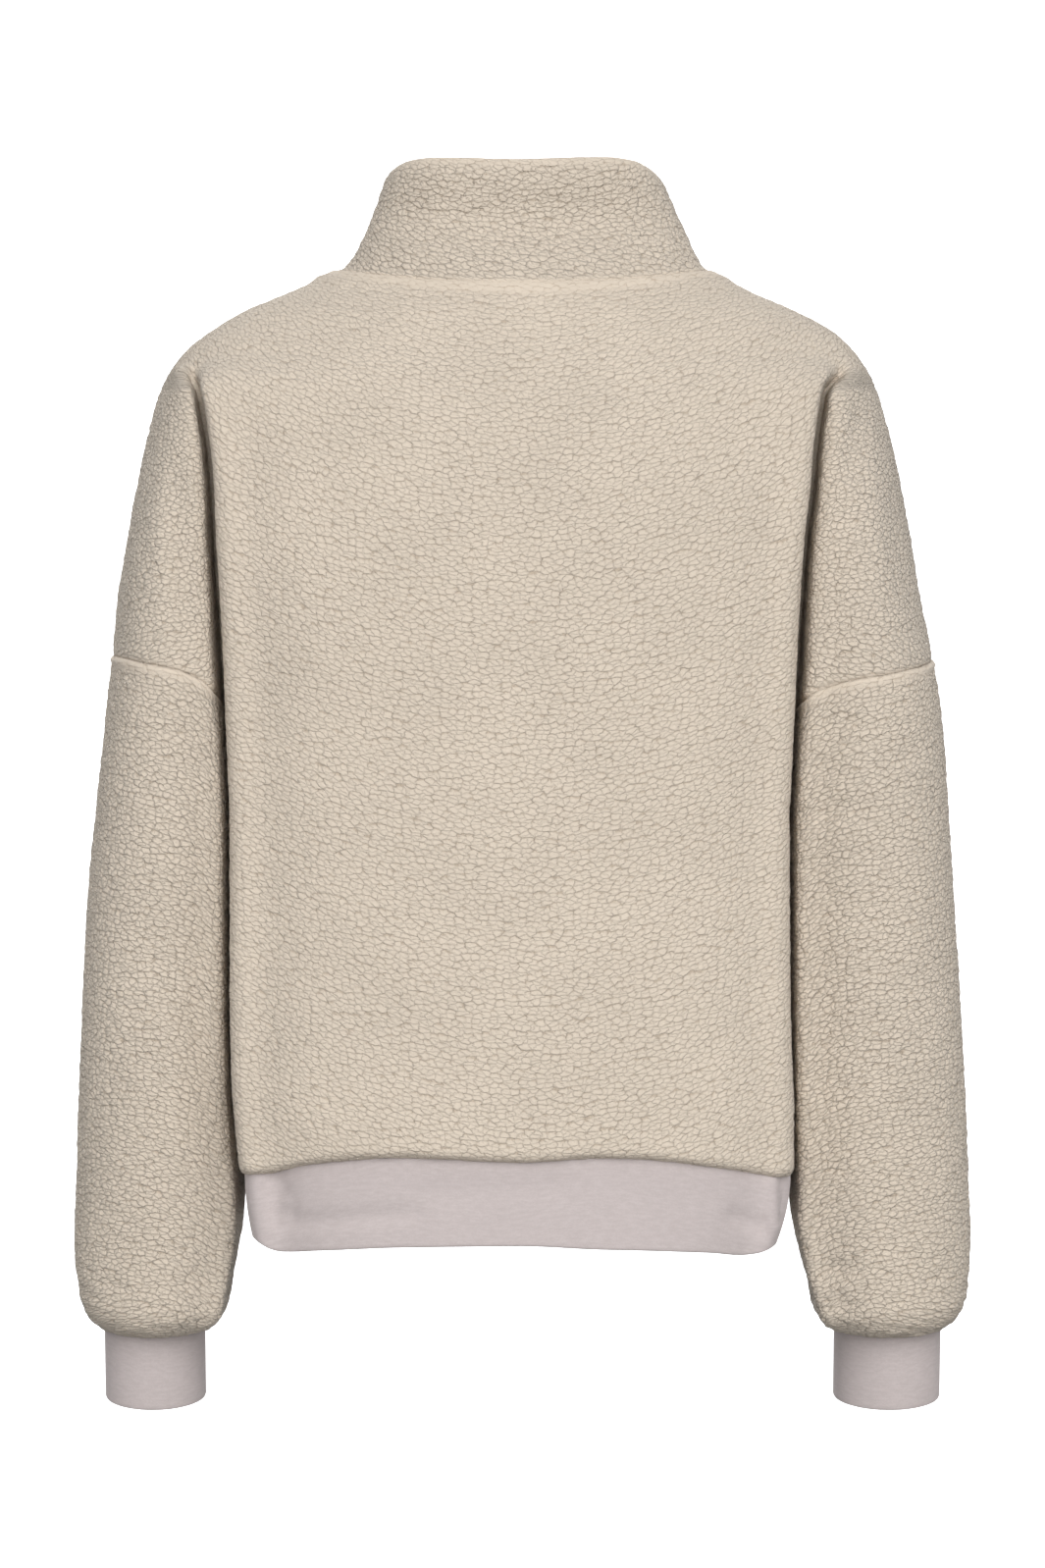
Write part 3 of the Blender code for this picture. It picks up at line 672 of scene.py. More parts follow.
# %% The rim round a shell's edges
def edge_faces(fine, coarse, kept):
    """The rim: one face for each coarse cell side that has no kept neighbour, from the fine points
    along it and its two coarse points. A ring's first and last cells are neighbours."""
    rows, columns = kept.shape
    padded = np.zeros((rows + 2, columns + 2), bool)
    padded[1:-1, 1:-1] = kept
    if coarse[0, 0] == coarse[0, -1]:
        padded[1:-1, 0] = kept[:, -1]
        padded[1:-1, -1] = kept[:, 0]
    run = np.arange(EVERY + 1)
    faces = []
    for down, across in ((-1, 0), (1, 0), (0, -1), (0, 1)):
        beside = padded[1 + down:rows + 1 + down, 1 + across:columns + 1 + across]
        r, c = np.nonzero(kept & ~beside)
        if not len(r):
            continue
        if across == 0:
            row = r + (down > 0)
            forward = run if down < 0 else run[::-1]
            long_side = fine[row[:, None] * EVERY, c[:, None] * EVERY + forward]
            ends = [coarse[row, c + (down < 0)], coarse[row, c + (down > 0)]]
        else:
            column = c + (across > 0)
            forward = run[::-1] if across < 0 else run
            long_side = fine[r[:, None] * EVERY + forward, column[:, None] * EVERY]
            ends = [coarse[r + (across > 0), column], coarse[r + (across < 0), column]]
        faces.append(np.concatenate([long_side, np.stack(ends, axis=1)], axis=1))
    return np.concatenate(faces)


print("a face of the rim has", EVERY + 1, "fine and 2 coarse corners")

# %% Places on the flat cloth
def unwrapped(corner, groups, cloth_map):
    """Cloth places of face corners, with those of a face that crosses a ring's joint moved to one
    side of it: a corner more than half a ring before the face's last one goes once round."""
    around = (cloth_map[:, -1, 0] - cloth_map[:, 0, 0]).mean()
    start = 0
    for faces in groups:
        stop = start + faces.size
        across = corner[start:stop, 0].reshape(faces.shape)
        behind = across < across.max(axis=1, keepdims=True) - around / 2.0
        corner[start:stop, 0] = (across + behind * around).ravel()
        start = stop
    return corner


def lay_cloth(piece, corner, nap):
    """Stores each face corner's place on the flat cloth and each point's strength of pile."""
    piece.data.uv_layers.new(name="cloth").data.foreach_set("uv", corner.ravel())
    piece.data.attributes.new("nap", "FLOAT", "POINT").data.foreach_set("value", nap.ravel())


print("each piece keeps its cloth's places as its UV map")

# %% Closed shells
def shell_faces(vertices, fine, coarse, kept):
    """The outer cells, the inner cells turned over and the rim between them, all turned round where
    the volume that they enclose comes out below 0, and that volume."""
    fine_kept = kept.repeat(EVERY, axis=0).repeat(EVERY, axis=1)
    groups = [cells(fine)[fine_kept], cells(coarse)[kept][:, ::-1], edge_faces(fine, coarse, kept)]
    volume = sum(enclosed(vertices, faces) for faces in groups)
    if volume < 0.0:
        groups = [faces[:, ::-1] for faces in groups]
    return groups, abs(volume)


def cloth_shell(name, outer, inner, cloth_map, nap, keep, ring, outer_finish, inner_finish):
    """A closed piece of cloth from a fine outer grid and an inner grid of every fourth point, with
    the points that no kept cell uses left out. cloth_map holds each outer point's place on the flat
    cloth, in metres, with a ring's first column again at its end."""
    rows, columns = outer.shape[:2]
    coarse_points = inner[::EVERY, ::EVERY]
    fine = numbered(rows, columns, 0, ring)
    coarse = numbered(*coarse_points.shape[:2], rows * columns, ring)
    kept = np.ones((coarse.shape[0] - 1, coarse.shape[1] - 1), bool) if keep is None else keep
    vertices = np.concatenate([outer.reshape(-1, 3), coarse_points.reshape(-1, 3)])
    groups, volume = shell_faces(vertices, fine, coarse, kept)

    corners = np.concatenate([faces.ravel() for faces in groups])
    used, renumbered = np.unique(corners, return_inverse=True)
    parts = np.split(renumbered, np.cumsum([faces.size for faces in groups])[:-1])
    faces = sum([part.reshape(group.shape).tolist() for part, group in zip(parts, groups)], [])
    piece = mesh_object(name, vertices[used], faces, outer_finish)
    piece.data.materials.append(inner_finish)
    outside, inside, rim = (len(group) for group in groups)
    slots = np.zeros(outside + inside + rim, int)
    slots[outside:outside + inside] = 1
    piece.data.polygons.foreach_set("material_index", slots)

    place = np.empty((len(vertices), 2))
    place[:rows * columns] = cloth_map[:, :columns].reshape(-1, 2)
    place[rows * columns:] = cloth_map[::EVERY, :columns:EVERY].reshape(-1, 2)
    corner = unwrapped(place[corners], groups, cloth_map) if ring else place[corners]
    strength = np.ones(len(vertices))
    strength[:rows * columns] = nap.ravel()
    lay_cloth(piece, corner, strength[used])
    triangles = 2 * outside + 2 * inside + (EVERY + 1) * rim
    print(f"{name}: {triangles} triangles, {volume / CM3:.0f} cm3 of cloth")
    return piece


print("the inner face has one point for", EVERY * EVERY, "of the outer face")

# %% [markdown]
# ## Sherpa pile
#
# Sherpa is a knitted ground with wool-like loops that curl into small tufts. The tufts stand in
# loose clumps, and these give the cloth its uneven skin and its soft outline. In the mesh the
# clumps are a jittered grid with one rounded lump in each cell, and a point takes the tallest lump
# at its place. The tufts themselves are finer than the mesh and are left to the finish.

# %% Rows of lumps that wander
WANDER = (1.6, 0.96)


def wander(across, down):
    """Slow waves that push the rows of lumps out of line: sums of sines whose lengths have no
    common multiple, so the pattern never comes back. A divisor is a wave's length over 2 pi, in
    millimetres."""
    sideways = np.sin(down / 7.3 + 1.7 * np.sin(across / 19.0))
    sideways = sideways + np.sin(down / 3.1 - across / 13.0)
    upwards = np.sin(across / 9.7 + 1.9 * np.sin(down / 23.0))
    upwards = upwards + 0.6 * np.sin(across / 4.3 + down / 11.0)
    return across + WANDER[0] * sideways, down + WANDER[1] * upwards


print("lumps wander by up to", 2.0 * WANDER[0], "mm sideways")

# %% Lumps of pile
# LUMP: width and height of a cell in millimetres. LUMP_INSET: how near its middle may come to the
# cell's sides. LUMP_RADIUS: in cells, from its smallest to that plus its growth.
LUMP = (8.5, 5.4)
LUMP_TABLE = 64
LUMP_INSET = (0.1, 0.15)
LUMP_LOWEST = 0.45
LUMP_RADIUS = 0.9
LUMP_SMALLEST = 0.8
LUMP_GROWTH = 0.4


def lumps(across, down, seed):
    """Pile height from 0 to 1: the highest of (lowest + rest x tall) x (1 - distance^2 / radius^2)
    over the nine nearest cells, where the distance is in cells. The dice are thrown once for a
    table of cells that repeats."""
    dice = np.random.default_rng(seed)
    shift_a, shift_d, tall, wide = dice.random((4, LUMP_TABLE, LUMP_TABLE))
    inset_a, inset_d = LUMP_INSET
    across, down = wander(across, down)
    a, d = across / LUMP[0], down / LUMP[1]
    cell_a, cell_d = np.floor(a).astype(int), np.floor(d).astype(int)
    best = np.zeros_like(a)
    for step_a in (-1, 0, 1):
        for step_d in (-1, 0, 1):
            here = (cell_a + step_a) % LUMP_TABLE, (cell_d + step_d) % LUMP_TABLE
            gap_a = cell_a + step_a + inset_a + (1.0 - 2.0 * inset_a) * shift_a[here] - a
            gap_d = cell_d + step_d + inset_d + (1.0 - 2.0 * inset_d) * shift_d[here] - d
            radius = LUMP_RADIUS * (LUMP_SMALLEST + LUMP_GROWTH * wide[here])
            round_top = 1.0 - (gap_a ** 2 + gap_d ** 2) / radius ** 2
            highest = LUMP_LOWEST + (1.0 - LUMP_LOWEST) * tall[here]
            best = np.maximum(best, highest * round_top)
    return np.clip(best, 0.0, 1.0)


print("the table of lumps comes back after", [LUMP_TABLE * size for size in LUMP], "mm")

# %% Put the pile on a form
PILE_RELIEF = 0.85
PILE_MEAN = 0.5


def cloth_places(points, start_column):
    """Place of each point on the flat cloth, in millimetres: along its row from one column, and
    down its column from the top."""
    along = lengths(points, 1)
    return np.stack([along - along[:, [start_column]], lengths(points, 0)], axis=2)


def with_pile(points, normal, places, relief, seed):
    """The form with its lumps of pile: each point moves along its normal by the relief x (height
    of the pile - its mean)."""
    height = lumps(places[..., 0], places[..., 1], seed)
    return points + normal * (PILE_RELIEF * relief * (height - PILE_MEAN))[..., None]


print("lumps of", LUMP, "mm and", PILE_RELIEF, "mm of relief")

# %% [markdown]
# ## Folds
#
# The filled-out cloth has few folds: a drag line where each arm starts, puckers above the cuffs
# and slow waves down the sleeves. Each is a line on the cloth with its own width and height, below
# 0 for a trough. A fold is deepest along its middle and runs out at both ends. No two are alike.
# The front has folds of the same kinds in other places.

# %% Fold lines
FOLDS_BACK = table("""
x0   z0    x1   z1   width height
-204  -84 -196 -132    6    -2.2
-222 -136 -226 -205    8    -1.8
-192  -96 -186 -120    4     1.0
 207 -118  202 -208    7    -2.2
 216 -150  214 -230    6     1.0
-187 -279 -202 -275    5    -1.6
-163 -332 -210 -326    7    -2.4
-165 -345 -205 -341    7     1.2
-222 -300 -240 -292    6    -1.6
-222 -308 -243 -304    5     1.0
 196 -443  176 -538    8    -2.2
 214 -452  204 -536   10     1.4
 225 -400  205 -470   16    -1.2
-176 -610 -203 -606    5    -2.0
-180 -622 -204 -619    4     1.4
-178 -634 -200 -632    4    -1.6
-244 -618 -262 -612    6    -1.2
 186 -612  208 -618    5    -1.4
 240 -622  258 -616    6    -1.2
-200 -440 -214 -560   16    -1.4
-238 -430 -232 -540   18    -1.2
   0  -60    0 -300   38    -2.2
-120 -470 -150 -520   22     1.6
 120 -440  146 -520   24     1.2
 -60 -400  -40 -500   40     0.8
 -96  -70 -140 -110   18    -1.0
  98  -70  142 -112   18    -1.0
""")
FOLDS_FRONT = table("""
x0   z0    x1   z1   width height
-206  -90 -212 -160    7    -2.2
 208 -100  214 -170    8    -2.4
 222 -150  226 -215    8    -1.8
-168 -300 -206 -292    6    -1.8
 168 -318  208 -308    7    -2.2
 -90 -150  -60 -420   36    -2.2
  96 -170   70 -440   34    -2.2
 205 -440  186 -540   10    -2.4
-205 -430 -184 -520   10    -2.2
-222 -470 -206 -570   12     1.6
 222 -450  212 -560   14    -1.4
 184 -610  210 -614    5    -1.8
-182 -614 -208 -620    5    -1.8
-240 -622 -260 -616    6    -1.2
""")
FOLD_RUN_OUT = 0.25


def fold_height(points, folds, run_out=None):
    """Sum over the folds of height x bell of the distance to the line. With a run-out, a share of
    the line, each fold also eases to 0 from that much inside its ends to that much past them."""
    x, z = points[..., 0], points[..., 2]
    total = np.zeros_like(x)
    for x0, z0, x1, z1, width, height in zip(*folds.values()):
        run = np.array([x1 - x0, z1 - z0])
        share = ((x - x0) * run[0] + (z - z0) * run[1]) / run.dot(run)
        near = share.clip(0.0, 1.0)
        bell = height * hump(np.hypot(x - x0 - near * run[0], z - z0 - near * run[1]), width)
        if run_out:
            ends = ease((share + run_out) / (2.0 * run_out))
            bell = bell * (ends * ease((1.0 + run_out - share) / (2.0 * run_out)))
        total += bell
    return total


def drape(points, half):
    """Height of the drape folds of the back or the front."""
    return fold_height(points, FOLDS_BACK if half > 0 else FOLDS_FRONT, FOLD_RUN_OUT)


print(len(FOLDS_BACK["x0"]), "folds behind and", len(FOLDS_FRONT["x0"]), "in front")

# %% [markdown]
# ## The finishes
#
# The fleece is warm cream. Pile scatters light like velvet, so the finish is fully rough with a
# soft sheen at glancing angles, and no gloss. The tufts are a bump: cells 5 mm wide and 3 mm high,
# bent by noise. Each tuft hangs down over the one below it, like a shingle, so it has a crease
# all round but a step only along its lower edge. That is what makes sherpa look crinkled across
# and not cracked like mud. Where the pile is low, in the creases, the colour is painted a little
# darker and warmer: painted shade, warm like light bounced between tufts. Large patches differ a
# little where the pile has been brushed one way.

# %% Nodes
def node(tree, kind, **settings):
    """One shader node. Each value goes to the property or the input of its name, or to the input of
    its number where the name is i0 or i1. A value that is a socket is linked."""
    made = tree.nodes.new(kind)
    for name, value in settings.items():
        if hasattr(made, name) and name not in made.inputs:
            setattr(made, name, value)
            continue
        numbered_input = name[0] == "i" and name[1:].isdigit()
        socket = made.inputs[int(name[1:]) if numbered_input else name.replace("_", " ")]
        if isinstance(value, bpy.types.NodeSocket):
            tree.links.new(value, socket)
        else:
            socket.default_value = value
    return made


def reckon(tree, operation, first, second):
    """The result of one sum on two numbers or sockets."""
    return node(tree, "ShaderNodeMath", operation=operation, i0=first, i1=second).outputs["Value"]


def weighted(tree, first, weight_first, second, weight_second):
    """first x weight + second x weight."""
    return reckon(tree, "ADD", reckon(tree, "MULTIPLY", first, weight_first),
                  reckon(tree, "MULTIPLY", second, weight_second))


def on_cloth(tree):
    """Each point's place on the flat cloth, in metres."""
    return node(tree, "ShaderNodeUVMap", uv_map="cloth").outputs["UV"]


print("ready: node, reckon, weighted and on_cloth")

# %% A cloth's shader
CLOTH_GLOSS = 0.12


def cloth_finish(name, roughness, sheen, sheen_roughness, sheen_tint):
    """A new material for cloth and its node tree, with constants on the shader's own sockets."""
    material = bpy.data.materials.new(name)
    material.use_nodes = True
    shader = material.node_tree.nodes["Principled BSDF"]
    shader.inputs["Roughness"].default_value = roughness
    shader.inputs["Specular IOR Level"].default_value = CLOTH_GLOSS
    shader.inputs["Sheen Weight"].default_value = sheen
    shader.inputs["Sheen Roughness"].default_value = sheen_roughness
    shader.inputs["Sheen Tint"].default_value = (*sheen_tint, 1.0)
    return material, material.node_tree, shader


def colour_and_bump(tree, shader, colour, height, strength, depth):
    """Links a colour to the shader, and a bump of the given strength, its depth in millimetres."""
    bump = node(tree, "ShaderNodeBump", Height=height, Strength=strength, Distance=depth * MM)
    tree.links.new(colour, shader.inputs["Base Color"])
    tree.links.new(bump.outputs["Normal"], shader.inputs["Normal"])


print("every cloth has a gloss of", CLOTH_GLOSS)

# %% Colours that vary
NOISE_LOW = 0.3
NOISE_HIGH = 0.7


def ramp(tree, factor, stops):
    """A colour for each value, through the given places and colours."""
    made = node(tree, "ShaderNodeValToRGB", Fac=factor)
    made.color_ramp.interpolation = "EASE"
    bands = made.color_ramp.elements
    while len(bands) < len(stops):
        bands.new(0.5)
    for band, (place, colour) in zip(bands, stops):
        band.position = place
        band.color = (*colour, 1.0)
    return made.outputs["Color"]


def patches(tree, colour, size, low, high):
    """A colour times slow noise between two greys, for cloth that isn't quite even."""
    place = node(tree, "ShaderNodeTexCoord").outputs["Object"]
    noise = node(tree, "ShaderNodeTexNoise", Vector=place, Scale=1.0 / (size * MM), Detail=3.0)
    shade = node(tree, "ShaderNodeMapRange", Value=noise.outputs["Fac"], From_Min=NOISE_LOW,
                 From_Max=NOISE_HIGH, To_Min=low, To_Max=high).outputs["Result"]
    tinted = node(tree, "ShaderNodeVectorMath", operation="SCALE", i0=colour, Scale=shade)
    return tinted.outputs["Vector"]


print("ready: ramp and patches, for noise from", NOISE_LOW, "to", NOISE_HIGH)

# %% Cells on the cloth
CELL_DISORDER = 0.95
CURL_SOFTNESS = 0.35


def stretched(tree, across, down, bend, ripple=0.55):
    """Cloth coordinates in cells of the given size in millimetres, bent by noise of so many ripples
    to a cell: place + bend x (noise - 1/2)."""
    place = node(tree, "ShaderNodeMapping", Vector=on_cloth(tree),
                 Scale=(1.0 / (across * MM), 1.0 / (down * MM), 1.0)).outputs["Vector"]
    noise = node(tree, "ShaderNodeTexNoise", Vector=place, Scale=ripple, Detail=2.0)
    centred = node(tree, "ShaderNodeVectorMath", operation="SUBTRACT", i0=noise.outputs["Color"],
                   i1=(0.5, 0.5, 0.5)).outputs["Vector"]
    push = node(tree, "ShaderNodeVectorMath", operation="SCALE", i0=centred, Scale=bend)
    return node(tree, "ShaderNodeVectorMath", operation="ADD", i0=place,
                i1=push.outputs["Vector"]).outputs["Vector"]


def curls(tree, across, down, bend):
    """Rounded cells: 1 minus the smooth distance to the nearest cell point."""
    cell = node(tree, "ShaderNodeTexVoronoi", feature="SMOOTH_F1",
                Vector=stretched(tree, across, down, bend), Scale=1.0, Smoothness=CURL_SOFTNESS,
                Randomness=CELL_DISORDER)
    return reckon(tree, "SUBTRACT", 1.0, cell.outputs["Distance"])


def shingles(tree, across, down, bend, ripple, tilt, crease, crease_share):
    """Tufts that hang over each other: cells of height 1 - distance^2 + tilt x place down the cell,
    mixed with a crease of one width round every cell."""
    place = stretched(tree, across, down, bend, ripple)
    cell = node(tree, "ShaderNodeTexVoronoi", voronoi_dimensions="2D", Scale=1.0,
                Randomness=CELL_DISORDER, Vector=place)
    inside = node(tree, "ShaderNodeVectorMath", operation="SUBTRACT", i0=place,
                  i1=cell.outputs["Position"]).outputs["Vector"]
    down_cell = node(tree, "ShaderNodeSeparateXYZ", Vector=inside).outputs["Y"]
    dome = reckon(tree, "SUBTRACT", 1.0, reckon(tree, "POWER", cell.outputs["Distance"], 2.0))
    tuft = weighted(tree, dome, 1.0, down_cell, tilt)
    edge = node(tree, "ShaderNodeTexVoronoi", feature="DISTANCE_TO_EDGE", voronoi_dimensions="2D",
                Scale=1.0, Randomness=CELL_DISORDER, Vector=place)
    full = node(tree, "ShaderNodeMapRange", interpolation_type="SMOOTHERSTEP",
                Value=edge.outputs["Distance"], From_Min=-crease, From_Max=crease,
                To_Min=-1.0, To_Max=1.0).outputs["Result"]
    return weighted(tree, tuft, 1.0 - crease_share, full, crease_share)


print("ready: stretched, curls and shingles")

# %% Cream sherpa fleece
# TONES: heights of the pile and their colours. The darker, warmer colour of low pile is painted
# shade in the creases between tufts. TUFT, FUZZ and the STITCHES and STREAKS further down are sizes
# in millimetres.
FLEECE_TONES_AND_CREASE_SHADE = [(0.0, (0.545, 0.452, 0.355)), (0.6, (0.680, 0.590, 0.487))]
TUFT = (4.6, 2.9)
TUFT_BEND = 1.2
TUFT_RIPPLE = 1.1
TUFT_HANG = 1.2
CREASE = 0.3
CREASE_SHARE = 0.25
FUZZ = 0.9
FUZZ_SHARE = 0.15
TUFT_RELIEF = 1.5

fleece, tree, shader = cloth_finish("cream_sherpa", roughness=0.95, sheen=0.25,
                                    sheen_roughness=0.6, sheen_tint=(1.0, 0.96, 0.90))
tufts = shingles(tree, *TUFT, TUFT_BEND, TUFT_RIPPLE, TUFT_HANG, CREASE, CREASE_SHARE)
fuzz = node(tree, "ShaderNodeTexNoise", Vector=on_cloth(tree), Scale=1.0 / (FUZZ * MM),
            Detail=2.0).outputs["Fac"]
pile = weighted(tree, tufts, 1.0 - FUZZ_SHARE, fuzz, FUZZ_SHARE)
# The ramp paints the creases between tufts darker and warmer: painted shade with a warm cast.
cream = ramp(tree, pile, FLEECE_TONES_AND_CREASE_SHADE)
nap = node(tree, "ShaderNodeAttribute", attribute_name="nap").outputs["Fac"]
colour_and_bump(tree, shader, patches(tree, cream, size=45.0, low=0.97, high=1.03),
                reckon(tree, "MULTIPLY", pile, nap), strength=1.0, depth=TUFT_RELIEF)
print("fleece with tufts of", TUFT, "mm")

# %% [markdown]
# The reverse of the fleece is its knitted ground: a flat, slightly darker cream with fine rows of
# stitches. Only the inside of the neck and a look up through the hem show it.

# %% Knitted reverse of the fleece
REVERSE_TONES = [(0.3, (0.470, 0.410, 0.335)), (0.75, (0.560, 0.500, 0.420))]
REVERSE_STITCH = (1.5, 1.1)

reverse, tree, shader = cloth_finish("fleece_reverse", roughness=0.92, sheen=0.15,
                                     sheen_roughness=0.6, sheen_tint=(1.0, 0.97, 0.92))
stitches = curls(tree, *REVERSE_STITCH, bend=0.15)
ground = ramp(tree, stitches, REVERSE_TONES)
colour_and_bump(tree, shader, patches(tree, ground, size=60.0, low=0.96, high=1.04), stitches,
                strength=0.4, depth=0.3)
print("reverse with stitches of", REVERSE_STITCH, "mm")

# %% [markdown]
# The band and the cuffs are a fine lilac knit, so fine that it looks nearly smooth. What shows is
# a faint grain of short level streaks, where the yarn is thicker for a few stitches, and a soft
# matt bloom. Columns of tiny stitches under the streaks keep a close view from going blank.

# %% Lilac rib knit
RIB_TONES = [(0.3, (0.520, 0.458, 0.447)), (0.75, (0.580, 0.515, 0.505))]
RIB_STREAK = (7.0, 1.9)
RIB_STREAK_SHARE = 0.75
RIB_STITCH = (1.3, 0.9)

rib, tree, shader = cloth_finish("lilac_rib", roughness=0.88, sheen=0.22,
                                 sheen_roughness=0.5, sheen_tint=(1.0, 0.96, 0.98))
streaks = node(tree, "ShaderNodeTexNoise", Vector=stretched(tree, *RIB_STREAK, bend=0.3),
               Scale=1.0, Detail=2.0, Roughness=0.55).outputs["Fac"]
rib_stitches = curls(tree, *RIB_STITCH, bend=0.12)
rib_tone = weighted(tree, streaks, RIB_STREAK_SHARE, rib_stitches, 1.0 - RIB_STREAK_SHARE)
lilac = ramp(tree, rib_tone, RIB_TONES)
colour_and_bump(tree, shader, patches(tree, lilac, size=30.0, low=0.985, high=1.015), rib_tone,
                strength=0.35, depth=0.35)
print("rib knit with stitches of", RIB_STITCH, "mm")

# %% [markdown]
# ## Back and front
#
# A panel is cut in one with half of each dropped shoulder. It runs from the torso into the arm,
# with a deep fold between them, and below the underarm the torso goes on alone to the hem, where
# the fleece rolls in over the band. So the grid has an arm, a torso and an arm side by side above
# the underarm, and only the torso's columns below it. Where two panels are sewn together both turn
# in a little, which makes a seam a soft valley between two rows of pile.

# %% A rolled lower edge
ROLL_SAMPLES = 16


def rolled(edge, end):
    """Rows that turn from a fleece edge, a quarter round, inwards and down to end: the way in goes
    with 1 - cos and the way down with sin of the turn."""
    turn = np.linspace(0.0, math.pi / 2.0, ROLL_SAMPLES + 1)[1:, None, None]
    roll = edge + (end - edge) * (1.0 - np.cos(turn))
    roll[..., 2] = edge[:, 2] + (end[:, 2] - edge[:, 2]) * np.sin(turn[..., 0])
    return roll


print("a fleece edge turns in over", ROLL_SAMPLES, "rows")

# %% Rows of a panel
# FOLD_AT: share of a row, from the middle to the shoulder seam, that becomes torso, with FOLD_STEP
# between it and the arm. NECK_DIP, its REACH and the LEVELS and STARTS are in millimetres.
TORSO_SAMPLES = 200
ARM_SAMPLES = 110
UPPER_SAMPLES = 220
LOWER_SAMPLES = 150
TOP_CROWDING = 1.35
FOLD_START = -52.0
FOLD_FULL = -78.0
FOLD_AT = 0.72
FOLD_STEP = 0.02
NECK_DIP = {BACK: 12.0, FRONT: 44.0}
NECK_DIP_REACH = {BACK: 90.0, FRONT: 170.0}
NECK_DIP_SQUARE = 2.5
SEAM_BEND_START = -120.0
HEM_MEAN = -541.0
HEM_BEND_START = -380.0
HEM_ROLL_LEVEL = HEM_MEAN + HEM_ROLL_HEIGHT


def panel_samples():
    """Shares of one side's torso and arm, mirrored: each sample's share, whether it is on an arm,
    its share of the plain row above the folds, and its side, from the wearer's right to left."""
    share = np.concatenate([crowded(TORSO_SAMPLES), np.linspace(1.0, 0.0, ARM_SAMPLES + 1)])
    is_arm = np.arange(len(share)) > TORSO_SAMPLES
    across = np.where(is_arm, 1.0 - (1.0 - FOLD_AT - FOLD_STEP) * share, FOLD_AT * share)
    mirror = np.concatenate([np.arange(len(share))[::-1], np.arange(1, len(share))])
    side = np.where(np.arange(len(mirror)) < len(share), RIGHT, LEFT)
    return share[mirror], is_arm[mirror], across[mirror], side


def row_heights(half, side, share, is_arm, across, level):
    """Heights of a panel's rows: the level, less a dip to the neck, plus the drop-shoulder seam's
    rise on an arm or the hem's curve on the torso, each faded in by ease of the level."""
    dip_fade = ease(1.0 + level / NECK_DIP_REACH[half])
    z = level - NECK_DIP[half] * (1.0 - rounded(across, 2.0)[0] ** NECK_DIP_SQUARE) * dip_fade
    arm_fade = ease((level - SEAM_BEND_START) / (UNDERARM_LEVEL - SEAM_BEND_START))
    z = z + np.where(is_arm, seam_rise(side, share) * arm_fade, 0.0)
    hem_fade = ease((level - HEM_BEND_START) / (HEM_ROLL_LEVEL - HEM_BEND_START))
    curve = hem_height(half, torso_xy(side, half, share, level)[0], "fleece") - HEM_MEAN
    return z + np.where(is_arm, 0.0, curve * hem_fade)


print("a panel is drawn with", 2 * (TORSO_SAMPLES + ARM_SAMPLES + 1), "steps across")

# %% Torso and arms in one
def panel_form(half):
    """Closely sampled form of the back or the front, from the wearer's right to left: the upper
    part with both arms, and the torso's lower part with its rolled hem. The plain section above
    turns into torso and arm by ease of the height between FOLD_START and FOLD_FULL."""
    share, is_arm, across, side = panel_samples()
    upper = UNDERARM_LEVEL * (np.arange(UPPER_SAMPLES + 1) / UPPER_SAMPLES) ** TOP_CROWDING
    lower = np.linspace(UNDERARM_LEVEL, HEM_ROLL_LEVEL, LOWER_SAMPLES + 1)[1:]
    level, side = np.meshgrid(np.concatenate([upper, lower]), side, indexing="ij")
    share, is_arm = np.broadcast_to(share, level.shape), np.broadcast_to(is_arm, level.shape)
    z = row_heights(half, side, share, is_arm, across, level)
    torso_x, torso_y = torso_xy(side, half, share, z)
    arm_x, arm_y = arm_xy(side, half, share, z, fold_floor(z))
    plain_x, plain_y = shoulder_xy(side, half, across, level, z)
    pinch = ease((FOLD_START - z) / (FOLD_START - FOLD_FULL))
    x = plain_x + (np.where(is_arm, arm_x, torso_x) - plain_x) * pinch
    y = plain_y + (np.where(is_arm, arm_y, torso_y) - plain_y) * pinch
    y = np.where(is_arm & (share == 0.0), y + half * SEAM_GAP / 2.0, y)
    points = np.stack([x, y, z], axis=2)

    end_x, end_y = band_xy(side[-1], half, share[-1], inset_extra=ROLL_UNDERLAP)
    end = np.stack([end_x, end_y, hem_height(half, end_x, "fleece")], axis=1)
    body = slice(ARM_SAMPLES + 1, ARM_SAMPLES + 2 + 2 * TORSO_SAMPLES)
    hem = np.concatenate([points[UPPER_SAMPLES:], rolled(points[-1], end)])[:, body]
    return points[:UPPER_SAMPLES + 1], hem


print("torso and arms part between", FOLD_START, "and", FOLD_FULL, "mm")

# %% An even grid for a panel
PANEL_STEP = (2.62, 1.66)


def panel_grid(half):
    """The panel's points[row, column], how many columns belong to one arm, and how many rows lie
    above the underarm. Below it the arms' columns are only there to fill the array."""
    upper, hem = panel_form(half)
    first = ARM_SAMPLES + 1
    last = first + 2 * TORSO_SAMPLES
    parts = [upper[:, :first + 1], upper[:, first:last + 1], upper[:, last:]]
    arm, torso = (steps_for(lengths(part, 1)[:, -1].mean(), PANEL_STEP[0], EVERY)
                  for part in parts[:2])
    parts = [even(part, steps, 1) for part, steps in zip(parts, (arm, torso, arm))]
    upper = np.concatenate([parts[0][:, :-1], parts[1], parts[2][:, 1:]], axis=1)
    above = steps_for(lengths(upper, 0)[-1].mean(), PANEL_STEP[1], EVERY)
    upper = even(upper, above, 0)
    hem = even(hem, torso, 1)
    below = steps_for(lengths(hem, 0)[-1].mean(), PANEL_STEP[1], EVERY)
    hem = even(hem, below, 0)
    filler = upper[-1:].repeat(below, axis=0)
    filler[:, arm:arm + torso + 1] = hem[1:]
    return np.concatenate([upper, filler]), arm, above


print("a panel's cells are about", PANEL_STEP, "mm")

# %% Distances from seams and folds
FAR_AWAY = 99.0


